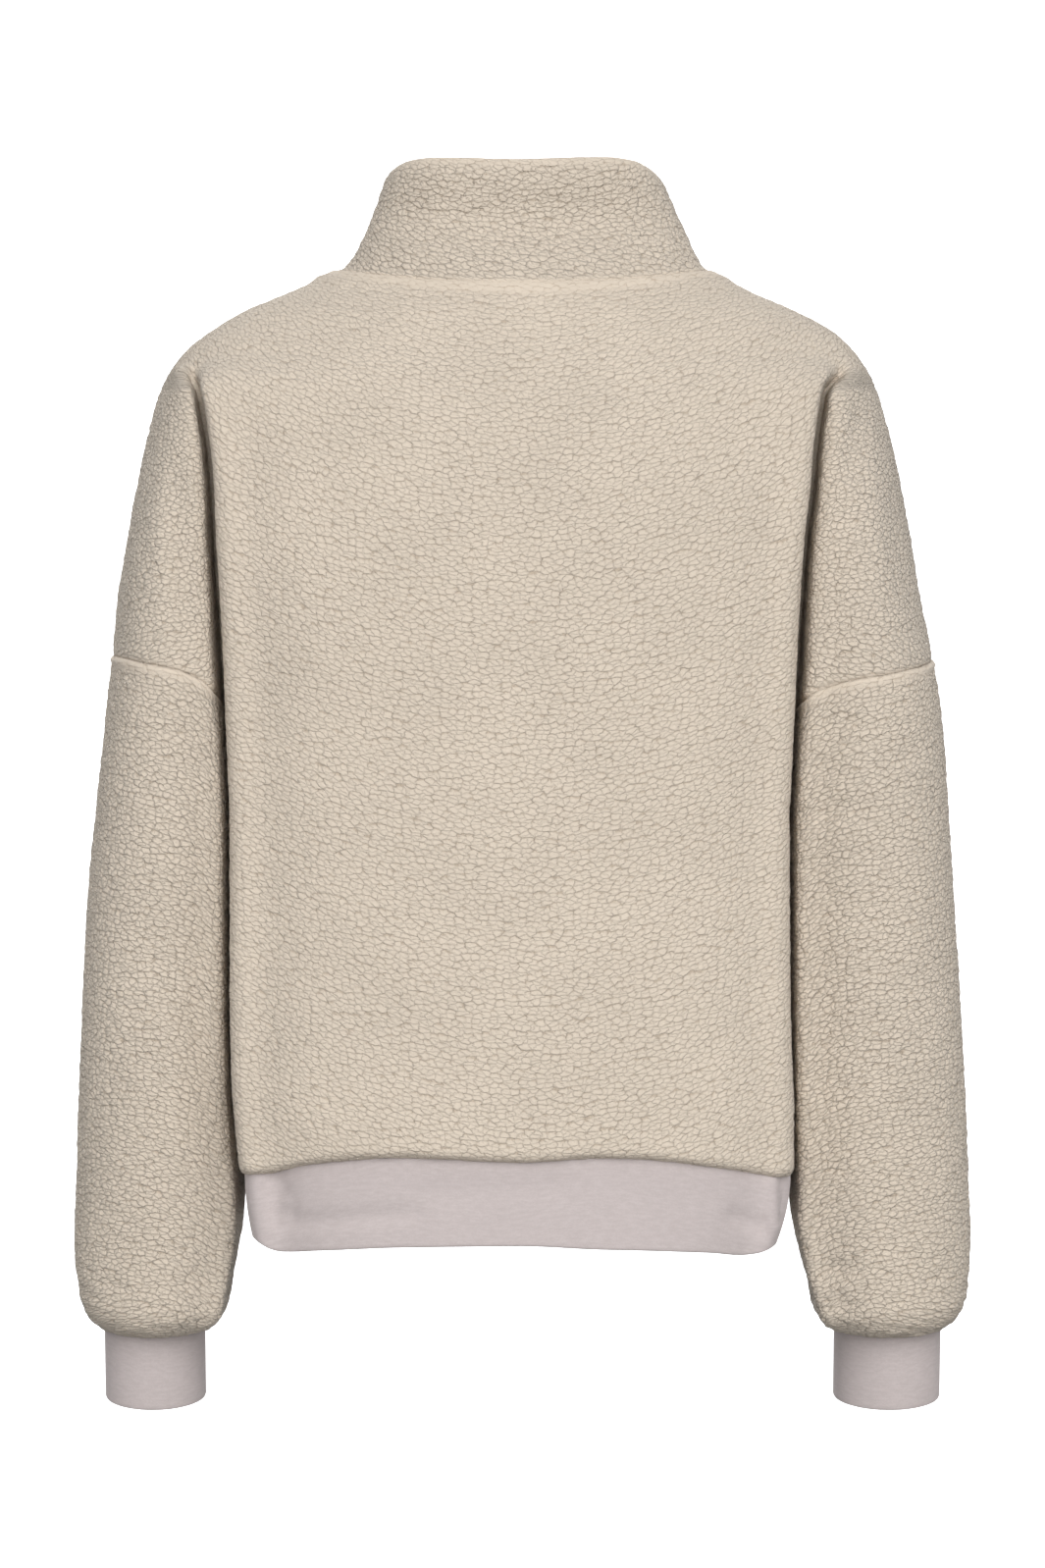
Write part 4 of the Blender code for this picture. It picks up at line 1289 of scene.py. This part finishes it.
def panel_distances(places, arm, above):
    """How far each point lies along the cloth from the panel's side edges, from the folds beside
    the arms, and from the armhole seams, and whether it is on an arm."""
    rows, columns = places.shape[:2]
    row, column = np.arange(rows)[:, None], np.arange(columns)[None, :]
    other = columns - 1 - arm
    on_arm = (column < arm) | (column > other)
    across, down = places[..., 0], places[..., 1]
    first = np.where(row > above, across[:, [arm]], across[:, [0]])
    last = np.where(row > above, across[:, [other]], across[:, [-1]])
    from_edge = np.minimum(across - first, last - across).clip(0.0)
    from_fold = np.minimum(np.abs(across - across[:, [arm]]), np.abs(across - across[:, [other]]))
    from_armhole = np.where(on_arm, (down[[above]] - down).clip(0.0), FAR_AWAY)
    return from_edge, from_fold, from_armhole, on_arm


def kept_cells(form, arm, above):
    """Which coarse cells of a panel are cloth: all above the underarm, the torso's below it."""
    row = np.arange(0, form.shape[0] - 1, EVERY)[:, None]
    column = np.arange(0, form.shape[1] - 1, EVERY)[None, :]
    return (row < above) | ((column >= arm) & (column < form.shape[1] - 1 - arm))


print("on the torso the armhole counts as", FAR_AWAY, "mm away")

# %% Seams, folds and pile of a panel
# A VALLEY or a RIDGE is a height in millimetres, an AT, a CALM, a REACH, a FADE or a WIDTH a
# distance from a seam, and a RELIEF the pile's strength.
SEAM_VALLEY = 0.9
SEAM_VALLEY_WIDTH = 1.8
NECK_VALLEY = 0.4
NECK_RIDGE = 1.3
NECK_RIDGE_AT = 3.6
NECK_RIDGE_WIDTH = 3.0
NECK_CALM_AT = 7.0
CALM = 5.0
SEAM_RELIEF = 0.25
SHOULDER_RELIEF = 0.75
SHOULDER_REACH = 110.0
CAP_RELIEF = 0.4
FOLD_CLEAR = 6.0
FOLD_FADE = 16.0
END_FADE = 24.0
forms = {}


def panel(name, half, seed):
    """One dressed panel: form, folds, seam valleys, the neck ridge, then the pile."""
    form, arm, above = panel_grid(half)
    forms[half] = form
    places = cloth_places(form, form.shape[1] // 2)
    across, from_neck = places[..., 0], places[..., 1]
    from_edge, from_fold, from_armhole, on_arm = panel_distances(places, arm, above)
    normal = facing(form, ring=False, outward=-half)
    normal[:, [0, -1], 1] = 0.0
    fade = ease((from_fold - FOLD_CLEAR) / FOLD_FADE) * ease(from_armhole / END_FADE)
    fade = fade * ease(from_neck / END_FADE) * ease(from_edge / END_FADE)
    lift = drape(form, half) * fade
    lift -= SEAM_VALLEY * (hump(from_edge, SEAM_VALLEY_WIDTH)
                           + hump(from_armhole, SEAM_VALLEY_WIDTH))
    lift -= NECK_VALLEY * hump(from_neck, SEAM_VALLEY_WIDTH)
    lift += NECK_RIDGE * hump(from_neck - NECK_RIDGE_AT, NECK_RIDGE_WIDTH)
    body = form + normal * lift[..., None]
    relief = SHOULDER_RELIEF + (1.0 - SHOULDER_RELIEF) * ease(-form[..., 2] / SHOULDER_REACH)
    relief = relief + CAP_RELIEF * on_arm * ease(-form[..., 2] / SHOULDER_REACH)
    calm = ease(np.minimum(np.minimum(from_neck - NECK_CALM_AT, from_armhole), from_edge) / CALM)
    relief = relief * (SEAM_RELIEF + (1.0 - SEAM_RELIEF) * calm)
    normal = facing(body, ring=False, outward=-half)
    outer = with_pile(body, normal, places, relief, seed)
    piece = cloth_shell(name, outer, body - normal * FLEECE_WALL, places * MM, relief,
                        kept_cells(form, arm, above), ring=False, outer_finish=fleece,
                        inner_finish=reverse)
    print("  widest", round(np.ptp(across[above])), "mm, at the hem",
          round(across[-1, -1 - arm] - across[-1, arm]), "mm, long",
          round(from_neck[-1, form.shape[1] // 2]))
    return piece


back_piece = panel("back_fleece", BACK, seed=11)
front_piece = panel("front_fleece", FRONT, seed=12)

# %% [markdown]
# ## Sleeves
#
# The lower sleeve is a tube from the drop-shoulder seam to the cuff, with its own seam along the
# inner side, next to the body. Right under the drop-shoulder seam the seam allowance is pressed
# towards the hand, so the cloth stands up in a narrow smooth ridge. At the bottom the wide fleece
# is drawn in over the narrow cuff.

# %% Even grids for tubes
def even_ring(rows, size):
    """A tube's even grid from closely sampled rings, its first column not repeated."""
    closed = np.concatenate([rows, rows[:, :1]], axis=1)
    around = steps_for(lengths(closed, 1)[:, -1].mean(), size[0], EVERY)
    closed = even(closed, around, 1)
    down = steps_for(lengths(closed, 0)[-1].mean(), size[1], EVERY)
    return even(closed, down, 0)[:, :-1]


def ring_places(points):
    """Places on the flat cloth of a tube's points, with the first column again at its end."""
    closed = np.concatenate([points, points[:, :1]], axis=1)
    return cloth_places(closed, 0)


print("ready: even_ring and ring_places")

# %% The form of a sleeve
SLEEVE_SAMPLES = 220
SLEEVE_STEP = (2.3, 1.5)
SLEEVE_FLOOR = 2.0
SEAM_SHAPE_LENGTH = 150.0
ARMHOLE_GAP = 0.1


def sleeve_form(side):
    """Closely sampled rings of a sleeve, from the drop-shoulder seam to the end of its roll. The
    first ring follows the seam, and the rings below it ease into slanting ones that lie lower
    behind by lean x distance from the arm's middle."""
    half, share = ring_shares(SLEEVE_SAMPLES)
    level = np.linspace(UNDERARM_LEVEL, SLEEVE_END_LEVEL, SLEEVE_SAMPLES + 1)
    level, share = np.meshgrid(level, share, indexing="ij")
    half = np.broadcast_to(half, level.shape)
    seam_fade = 1.0 - ease((UNDERARM_LEVEL - level) / SEAM_SHAPE_LENGTH)
    z = level + seam_rise(side, share) * seam_fade
    floor = SLEEVE_FLOOR + (fold_floor(z) - SLEEVE_FLOOR) * seam_fade
    x, y = arm_xy(side, half, share, z, floor)
    z = z - smooth(ARM, "lean", level) * (1.0 - seam_fade) * (y - smooth(ARM, "mid", level))
    z[0] -= ARMHOLE_GAP
    points = np.stack([x, y, z], axis=2)
    end_x, end_y = cuff_xy(side, half[-1], share[-1], -ROLL_UNDERLAP)
    end_z = SLEEVE_END_LEVEL - SLEEVE_ROLL_HEIGHT - CUFF_TILT * (end_y - CUFF_CENTRE_Y)
    end = np.stack([end_x, end_y, end_z], axis=1)
    return np.concatenate([points, rolled(points[-1], end)])


print("a sleeve's cells are about", SLEEVE_STEP, "mm")

# %% Seam ridge, folds and pile of a sleeve
PRESSED_RIDGE = 1.3
PRESSED_AT = 2.6
PRESSED_WIDTH = 1.7
SLEEVE_RELIEF = 1.45
CUFF_LUMPS = 1.25
CUFF_LUMPS_REACH = 60.0
OUTER_FROM = 185.0
OUTER_OVER = 70.0
INNER_RIDGE = 0.6
FOLD_FACING = 0.4


def sleeve(name, side, seed):
    """One dressed sleeve: form, folds, the pressed ridge under its seam, then the pile. The folds
    ease to 0 where the cloth turns away from back and front, and the ridge is lower inside."""
    form = even_ring(sleeve_form(side), SLEEVE_STEP)
    places = ring_places(form)
    down = places[:, :-1, 1]
    to_cuff = down[-1] - down
    outerness = ease((side * form[..., 0] - OUTER_FROM) / OUTER_OVER)
    ridge = PRESSED_RIDGE * (INNER_RIDGE + (1.0 - INNER_RIDGE) * outerness)
    normal = facing(form, ring=True, outward=-side)
    height = np.where(normal[..., 1] > 0.0, drape(form, BACK), drape(form, FRONT))
    lift = height * ease(down / END_FADE) * ease(np.abs(normal[..., 1]) / FOLD_FACING)
    lift -= SEAM_VALLEY * hump(down, SEAM_VALLEY_WIDTH)
    lift += ridge * hump(down - PRESSED_AT, PRESSED_WIDTH)
    body = form + normal * lift[..., None]
    relief = SLEEVE_RELIEF * (SEAM_RELIEF + (1.0 - SEAM_RELIEF) * ease((down - PRESSED_AT) / CALM))
    relief = relief * (1.0 + (CUFF_LUMPS - 1.0) * ease(1.0 - to_cuff / CUFF_LUMPS_REACH))
    normal = facing(body, ring=True, outward=-side)
    outer = with_pile(body, normal, places[:, :-1], relief, seed)
    piece = cloth_shell(name, outer, body - normal * FLEECE_WALL, places * MM, relief, keep=None,
                        ring=True, outer_finish=fleece, inner_finish=reverse)
    print("  round the top", round(places[0, -1, 0]), "mm, round the roll",
          round(places[-1, -1, 0]), "mm, long", round(down[-1].mean()))
    return piece


sleeve_left = sleeve("sleeve_left_fleece", LEFT, seed=13)
sleeve_right = sleeve("sleeve_right_fleece", RIGHT, seed=14)

# %% [markdown]
# ## Collar
#
# The stand collar is one strip of fleece folded in half along its top edge, so it is double, its
# edge is soft and round, and it shows pile inside as well as outside. It starts on the neck seam
# and narrows upwards to square corners. Behind it is a little hollow and leans out again to a lip,
# and its top edge dips in the middle. One grid does all of it: up the outside, half round over the
# top and down the inside. Its last row meets its first, so it is closed without a rim.

# %% Strips that turn over at an edge
def turned_over(outer, normal, wall, turns):
    """The face, a half round over its last row, and the face again one wall further in: the half
    round goes with the cosine along the normal and the sine along the cloth."""
    onwards = outer[-1] - outer[-2]
    onwards = onwards / np.linalg.norm(onwards, axis=1, keepdims=True)
    angle = np.linspace(0.0, math.pi, turns + 1)[1:-1, None, None]
    middle = outer[-1] - normal[-1] * wall / 2.0
    over = middle + wall / 2.0 * (np.cos(angle) * normal[-1] + np.sin(angle) * onwards)
    inner = (outer - normal * wall)[::-1]
    return np.concatenate([outer, over, inner])


def strip_shell(name, points, places, nap, finish):
    """A closed piece from a grid that meets itself both ways, like a ring doughnut."""
    rows, columns = points.shape[:2]
    grid = numbered(rows, columns, 0, True)
    grid = np.concatenate([grid, grid[:1]])
    faces = cells(grid).reshape(-1, 4)
    vertices = points.reshape(-1, 3)
    volume = enclosed(vertices, faces)
    if volume < 0.0:
        faces = faces[:, ::-1]
    piece = mesh_object(name, vertices, faces.tolist(), finish)
    flat = places[:, :columns].reshape(-1, 2) * MM
    lay_cloth(piece, unwrapped(flat[faces.ravel()], [faces], places * MM), nap)
    print(f"{name}: {2 * len(faces)} triangles, {abs(volume) / CM3:.0f} cm3 of cloth,",
          f"round {places[0, -1, 0]:.0f} to {places[rows // 2, -1, 0]:.0f} mm")
    return piece


print("strips that turn over close themselves")

# %% The collar's top edge
# The heights are those of the last row before the strip turns over, half a wall under its edge.
COLLAR_WALL = 6.0
COLLAR_TOP = 60.7
COLLAR_DROP_IN_FRONT = 24.0
COLLAR_DROP_IN_FRONT_POWER = 1.5
COLLAR_DROP_AT_SIDES = 7.0
COLLAR_CORNER = 8.0
COLLAR_HALF_WIDTH = 83.0
COLLAR_HALF_DEPTH = 65.0
COLLAR_ROUNDNESS = 3.0
COLLAR_DIP_BEHIND = 2.4
COLLAR_DIP_WIDTH = 48.0


def collar_top(angle):
    """The top edge, a superellipse, and its height before its corners drop. It is lower in front by
    sin of the angle to a power, in the middle behind by a bell, and at the sides by cos to a high
    power."""
    cos, sin = np.cos(angle), np.sin(angle)
    power = 2.0 / COLLAR_ROUNDNESS
    x = COLLAR_HALF_WIDTH * np.sign(cos) * np.abs(cos) ** power
    y = COLLAR_HALF_DEPTH * np.sign(sin) * np.abs(sin) ** power
    in_front = np.clip(-sin, 0.0, 1.0) ** COLLAR_DROP_IN_FRONT_POWER
    full = COLLAR_TOP - COLLAR_DROP_IN_FRONT * in_front
    full = full - COLLAR_DIP_BEHIND * hump(x, COLLAR_DIP_WIDTH) * (y > 0.0)
    z = full - COLLAR_DROP_AT_SIDES * np.abs(cos) ** COLLAR_CORNER
    return np.stack([x, y, z], axis=1), full


print("the collar's last row stands at", COLLAR_TOP, "mm, its corners at",
      COLLAR_TOP - COLLAR_DROP_AT_SIDES, "mm")

# %% The form of the collar
COLLAR_SAMPLES = 90
COLLAR_STEP = (2.2, 1.35)
COLLAR_TURNS = 6
COLLAR_UNDER_SEAM = 2.0
COLLAR_FLARE = {LEFT: 0.62, RIGHT: 0.76}
COLLAR_LIP_BEHIND = 4.0
COLLAR_LIP_START = 0.45
COLLAR_HOLLOW_BEHIND = 8.0
COLLAR_HOLLOW_AT = 0.52
COLLAR_HOLLOW_WIDTH = 0.27
NECK_HALF_WIDTH = 113.0
NECK_HALF_DEPTH = 75.0


def collar_form():
    """Closely sampled rings from just under the neck seam to the top edge. A ring moves in from
    the seam by share^flare of the way. Behind it moves in further by a bell of the share, the
    hollow, and the upper part leans out again to the lip."""
    back, front = forms[BACK][0], forms[FRONT][0][::-1]
    base = np.concatenate([back, front[1:-1]])
    middle = base[:, 1].mean()
    angle = np.arctan2((base[:, 1] - middle) / NECK_HALF_DEPTH, base[:, 0] / NECK_HALF_WIDTH)
    top, full = collar_top(angle)
    up = np.linspace(0.0, 1.0, COLLAR_SAMPLES + 1)[:, None]
    leftness = 0.5 + 0.5 * np.clip(base[:, 0] / COLLAR_HALF_WIDTH, -1.0, 1.0)
    flare = COLLAR_FLARE[RIGHT] + (COLLAR_FLARE[LEFT] - COLLAR_FLARE[RIGHT]) * leftness
    inward = (up * (top[:, 2] - base[:, 2]) / (full - base[:, 2])) ** flare
    ring = base + (top - base) * up[..., None]
    ring[..., :2] = base[:, :2] + (top - base)[:, :2] * inward[..., None]
    lip = ease((up - COLLAR_LIP_START) / (1.0 - COLLAR_LIP_START))
    hollow = hump(up - COLLAR_HOLLOW_AT, COLLAR_HOLLOW_WIDTH)
    behind = np.clip(np.sin(angle), 0.0, 1.0)
    ring[..., 1] += (COLLAR_LIP_BEHIND * lip - COLLAR_HOLLOW_BEHIND * hollow) * behind
    tuck = base - np.array([0.0, 0.0, COLLAR_UNDER_SEAM])
    return np.concatenate([tuck[None], ring])


print("the collar's cells are about", COLLAR_STEP, "mm")

# %% Folds and pile of the collar
COLLAR_RELIEF = 1.3
COLLAR_FOOT = 1.2
COLLAR_FOOT_HEIGHT = 4.0
COLLAR_EDGE_RELIEF = 0.3
COLLAR_EDGE = 6.0
COLLAR_EDGE_START = 0.5
COLLAR_WAVES = 1.1
STAND_WAVES = (3.0, 0.7)
EDGE_WAVES = (5.0, 2.0)
EDGE_WAVES_SHARE = 0.6


def collar(name, seed):
    """The dressed collar: slow waves round it, sines with a number of waves and a start, of which
    one set is strongest half way up and the other at the edge, then a thicker foot, then the turn
    over the top and the pile, weaker along the edge."""
    form = even_ring(collar_form(), COLLAR_STEP)
    normal = facing(form, ring=True, outward=1)
    places = ring_places(form)
    share = places[:, :-1, 1] / places[-1, :-1, 1]
    along = places[:, :-1, 0] / places[:, -1:, 0] * 2.0 * math.pi
    wave = np.sin(STAND_WAVES[0] * along + STAND_WAVES[1]) * np.sin(math.pi * share)
    wave = wave + EDGE_WAVES_SHARE * np.sin(EDGE_WAVES[0] * along + EDGE_WAVES[1]) * share
    foot = COLLAR_FOOT * hump(places[:, :-1, 1], COLLAR_FOOT_HEIGHT)
    form = form + normal * (COLLAR_WAVES * wave + foot)[..., None]
    normal = facing(form, ring=True, outward=1)
    points = turned_over(form, normal, COLLAR_WALL, COLLAR_TURNS)
    normal = facing(points, ring=True, outward=1)
    places = ring_places(points)
    down = places[:, :-1, 1]
    relief = COLLAR_RELIEF * ease(down / CALM) * ease((down[-1] - down) / CALM)
    to_top = np.abs(down - down[-1] / 2.0)
    calm = ease(to_top / COLLAR_EDGE - COLLAR_EDGE_START)
    relief = relief * (COLLAR_EDGE_RELIEF + (1.0 - COLLAR_EDGE_RELIEF) * calm)
    outer = with_pile(points, normal, places[:, :-1], relief, seed)
    places[..., 1] *= -1.0
    return strip_shell(name, outer, places, relief, fleece)


collar_piece = collar("collar_fleece", seed=15)

# %% [markdown]
# ## Hem band and cuffs
#
# The knit bands are double strips too, folded at their lower edges. They are tighter than the
# fleece, so they sit inside its rolled edge and pull in a little towards the bottom. Their upper
# edges are tucked into the roll, as far as the seam allowance goes.

# %% The hem band
BAND_SAMPLES = 60
BAND_STEP = (2.4, 1.5)
KNIT_TURNS = 4
BAND_DROP = 0.8
BAND_CORNER = 22.0
BAND_CORNER_RISE = 7.0
KNIT_FOLD_FACING = 0.3
BAND_FOLDS = table("""
x0   z0    x1   z1   width height
 143 -574   66  -566    6   -1.8
 148 -548  144  -566    8   -3.2
 142 -562  143  -572    4    1.6
-156 -548 -157  -572    4   -3.0
-148 -552 -149  -576    5    1.8
-126 -570 -141  -576    6   -2.0
 -20 -550   60  -554    8   -1.0
""")


def band_form():
    """Closely sampled rings of the band from its tucked upper edge down. Its lower edge rises
    towards the corners with the square of the way into them."""
    share = np.concatenate([crowded(TORSO_SAMPLES)[::-1], crowded(TORSO_SAMPLES)[1:]])
    side = np.where(np.arange(len(share)) <= TORSO_SAMPLES, RIGHT, LEFT)
    down = np.linspace(0.0, 1.0, BAND_SAMPLES + 1)[:, None]
    rings = []
    for half in (BACK, FRONT):
        x, y = band_xy(side, half, share[None, :], taper=down ** 2)
        y = np.broadcast_to(y, x.shape)
        top = hem_height(half, x[0], "fleece") + KNIT_TUCK
        to_edge = (np.abs(x[0]) - np.abs(x[0]).max() + BAND_CORNER).clip(0.0)
        rise = BAND_CORNER_RISE * (to_edge / BAND_CORNER) ** 2
        bottom = hem_height(half, x[0], "band") + RIB_WALL / 2.0 - BAND_DROP + rise
        rings.append(np.stack([x, y, top + (bottom - top) * down], axis=2))
    back, front = rings
    return np.concatenate([back, front[:, ::-1][:, 1:-1]], axis=1)


def knit_strip(name, form, size, outward, folds=None):
    """A dressed knit ring: its form with its folds on the back, turned over at the lower edge."""
    form = even_ring(form, size)
    normal = facing(form, ring=True, outward=outward)
    if folds:
        behind = normal[..., 1] > KNIT_FOLD_FACING
        form = form + normal * (fold_height(form, folds) * behind)[..., None]
        normal = facing(form, ring=True, outward=outward)
    points = turned_over(form, normal, RIB_WALL, KNIT_TURNS)
    places = ring_places(points)
    return strip_shell(name, points, places, np.ones(points.shape[:2]), rib)


band_piece = knit_strip("hem_band_knit", band_form(), BAND_STEP, outward=-1, folds=BAND_FOLDS)

# %% The cuffs
CUFF_STEP = (2.0, 1.4)
CUFF_LENGTH = 45.5
CUFF_FORWARD = -9.0


def cuff_form(side):
    """Closely sampled ovals of a cuff from its tucked upper edge down. It leans forward, and its
    ovals slant: z falls by tilt x distance behind the middle."""
    half, share = ring_shares(SLEEVE_SAMPLES)
    down = np.linspace(0.0, 1.0, BAND_SAMPLES + 1)
    down, share = np.meshgrid(down, share, indexing="ij")
    x, y = cuff_xy(side, np.broadcast_to(half, down.shape), share, 0.0)
    top = SLEEVE_END_LEVEL - SLEEVE_ROLL_HEIGHT + KNIT_TUCK
    drop = CUFF_LENGTH + SEAM_GAP + KNIT_TUCK - RIB_WALL / 2.0
    z = top - drop * down - CUFF_TILT * (y - CUFF_CENTRE_Y)
    return np.stack([x, y + CUFF_FORWARD * down, z], axis=2)


cuff_left = knit_strip("cuff_left_knit", cuff_form(LEFT), CUFF_STEP, outward=-LEFT)
cuff_right = knit_strip("cuff_right_knit", cuff_form(RIGHT), CUFF_STEP, outward=-RIGHT)

# %% [markdown]
# ## What each piece stands for
#
# Each dressed piece takes the place of one solid and moves with the garment's only body. Every
# piece is a sheet of cloth, so its cut is stated: the width and length that it had on the cutting
# table, all round on a tube, and its area where the cut isn't a rectangle. Widths and lengths were
# measured along the forms above.

# %% Bodies, solids and cuts
# For each solid its piece, its finish, the cut's width and length in metres, the cut's area in
# square metres, and the solids whose pieces it hangs from.
CUTS = {
    "back": (back_piece, "sherpa_fleece", (0.93, 0.54), 0.340, ()),
    "front": (front_piece, "sherpa_fleece", (0.93, 0.51), 0.327, ()),
    "sleeve_left": (sleeve_left, "sherpa_fleece", (0.41, 0.42), 0.159, ("back", "front")),
    "sleeve_right": (sleeve_right, "sherpa_fleece", (0.43, 0.42), 0.165, ("back", "front")),
    "collar": (collar_piece, "sherpa_fleece", (0.62, 0.080), 0.0436, ("back", "front")),
    "hem_band": (band_piece, "lilac_rib", (0.97, 0.050), None, ("back", "front")),
    "cuff_left": (cuff_left, "lilac_rib", (0.20, 0.048), None, ("sleeve_left",)),
    "cuff_right": (cuff_right, "lilac_rib", (0.205, 0.048), None, ("sleeve_right",)),
}
for solid, (piece, finish, flat, area, above) in CUTS.items():
    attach(piece, "root")
    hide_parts(solid)
print(len(CUTS), "pieces dressed")
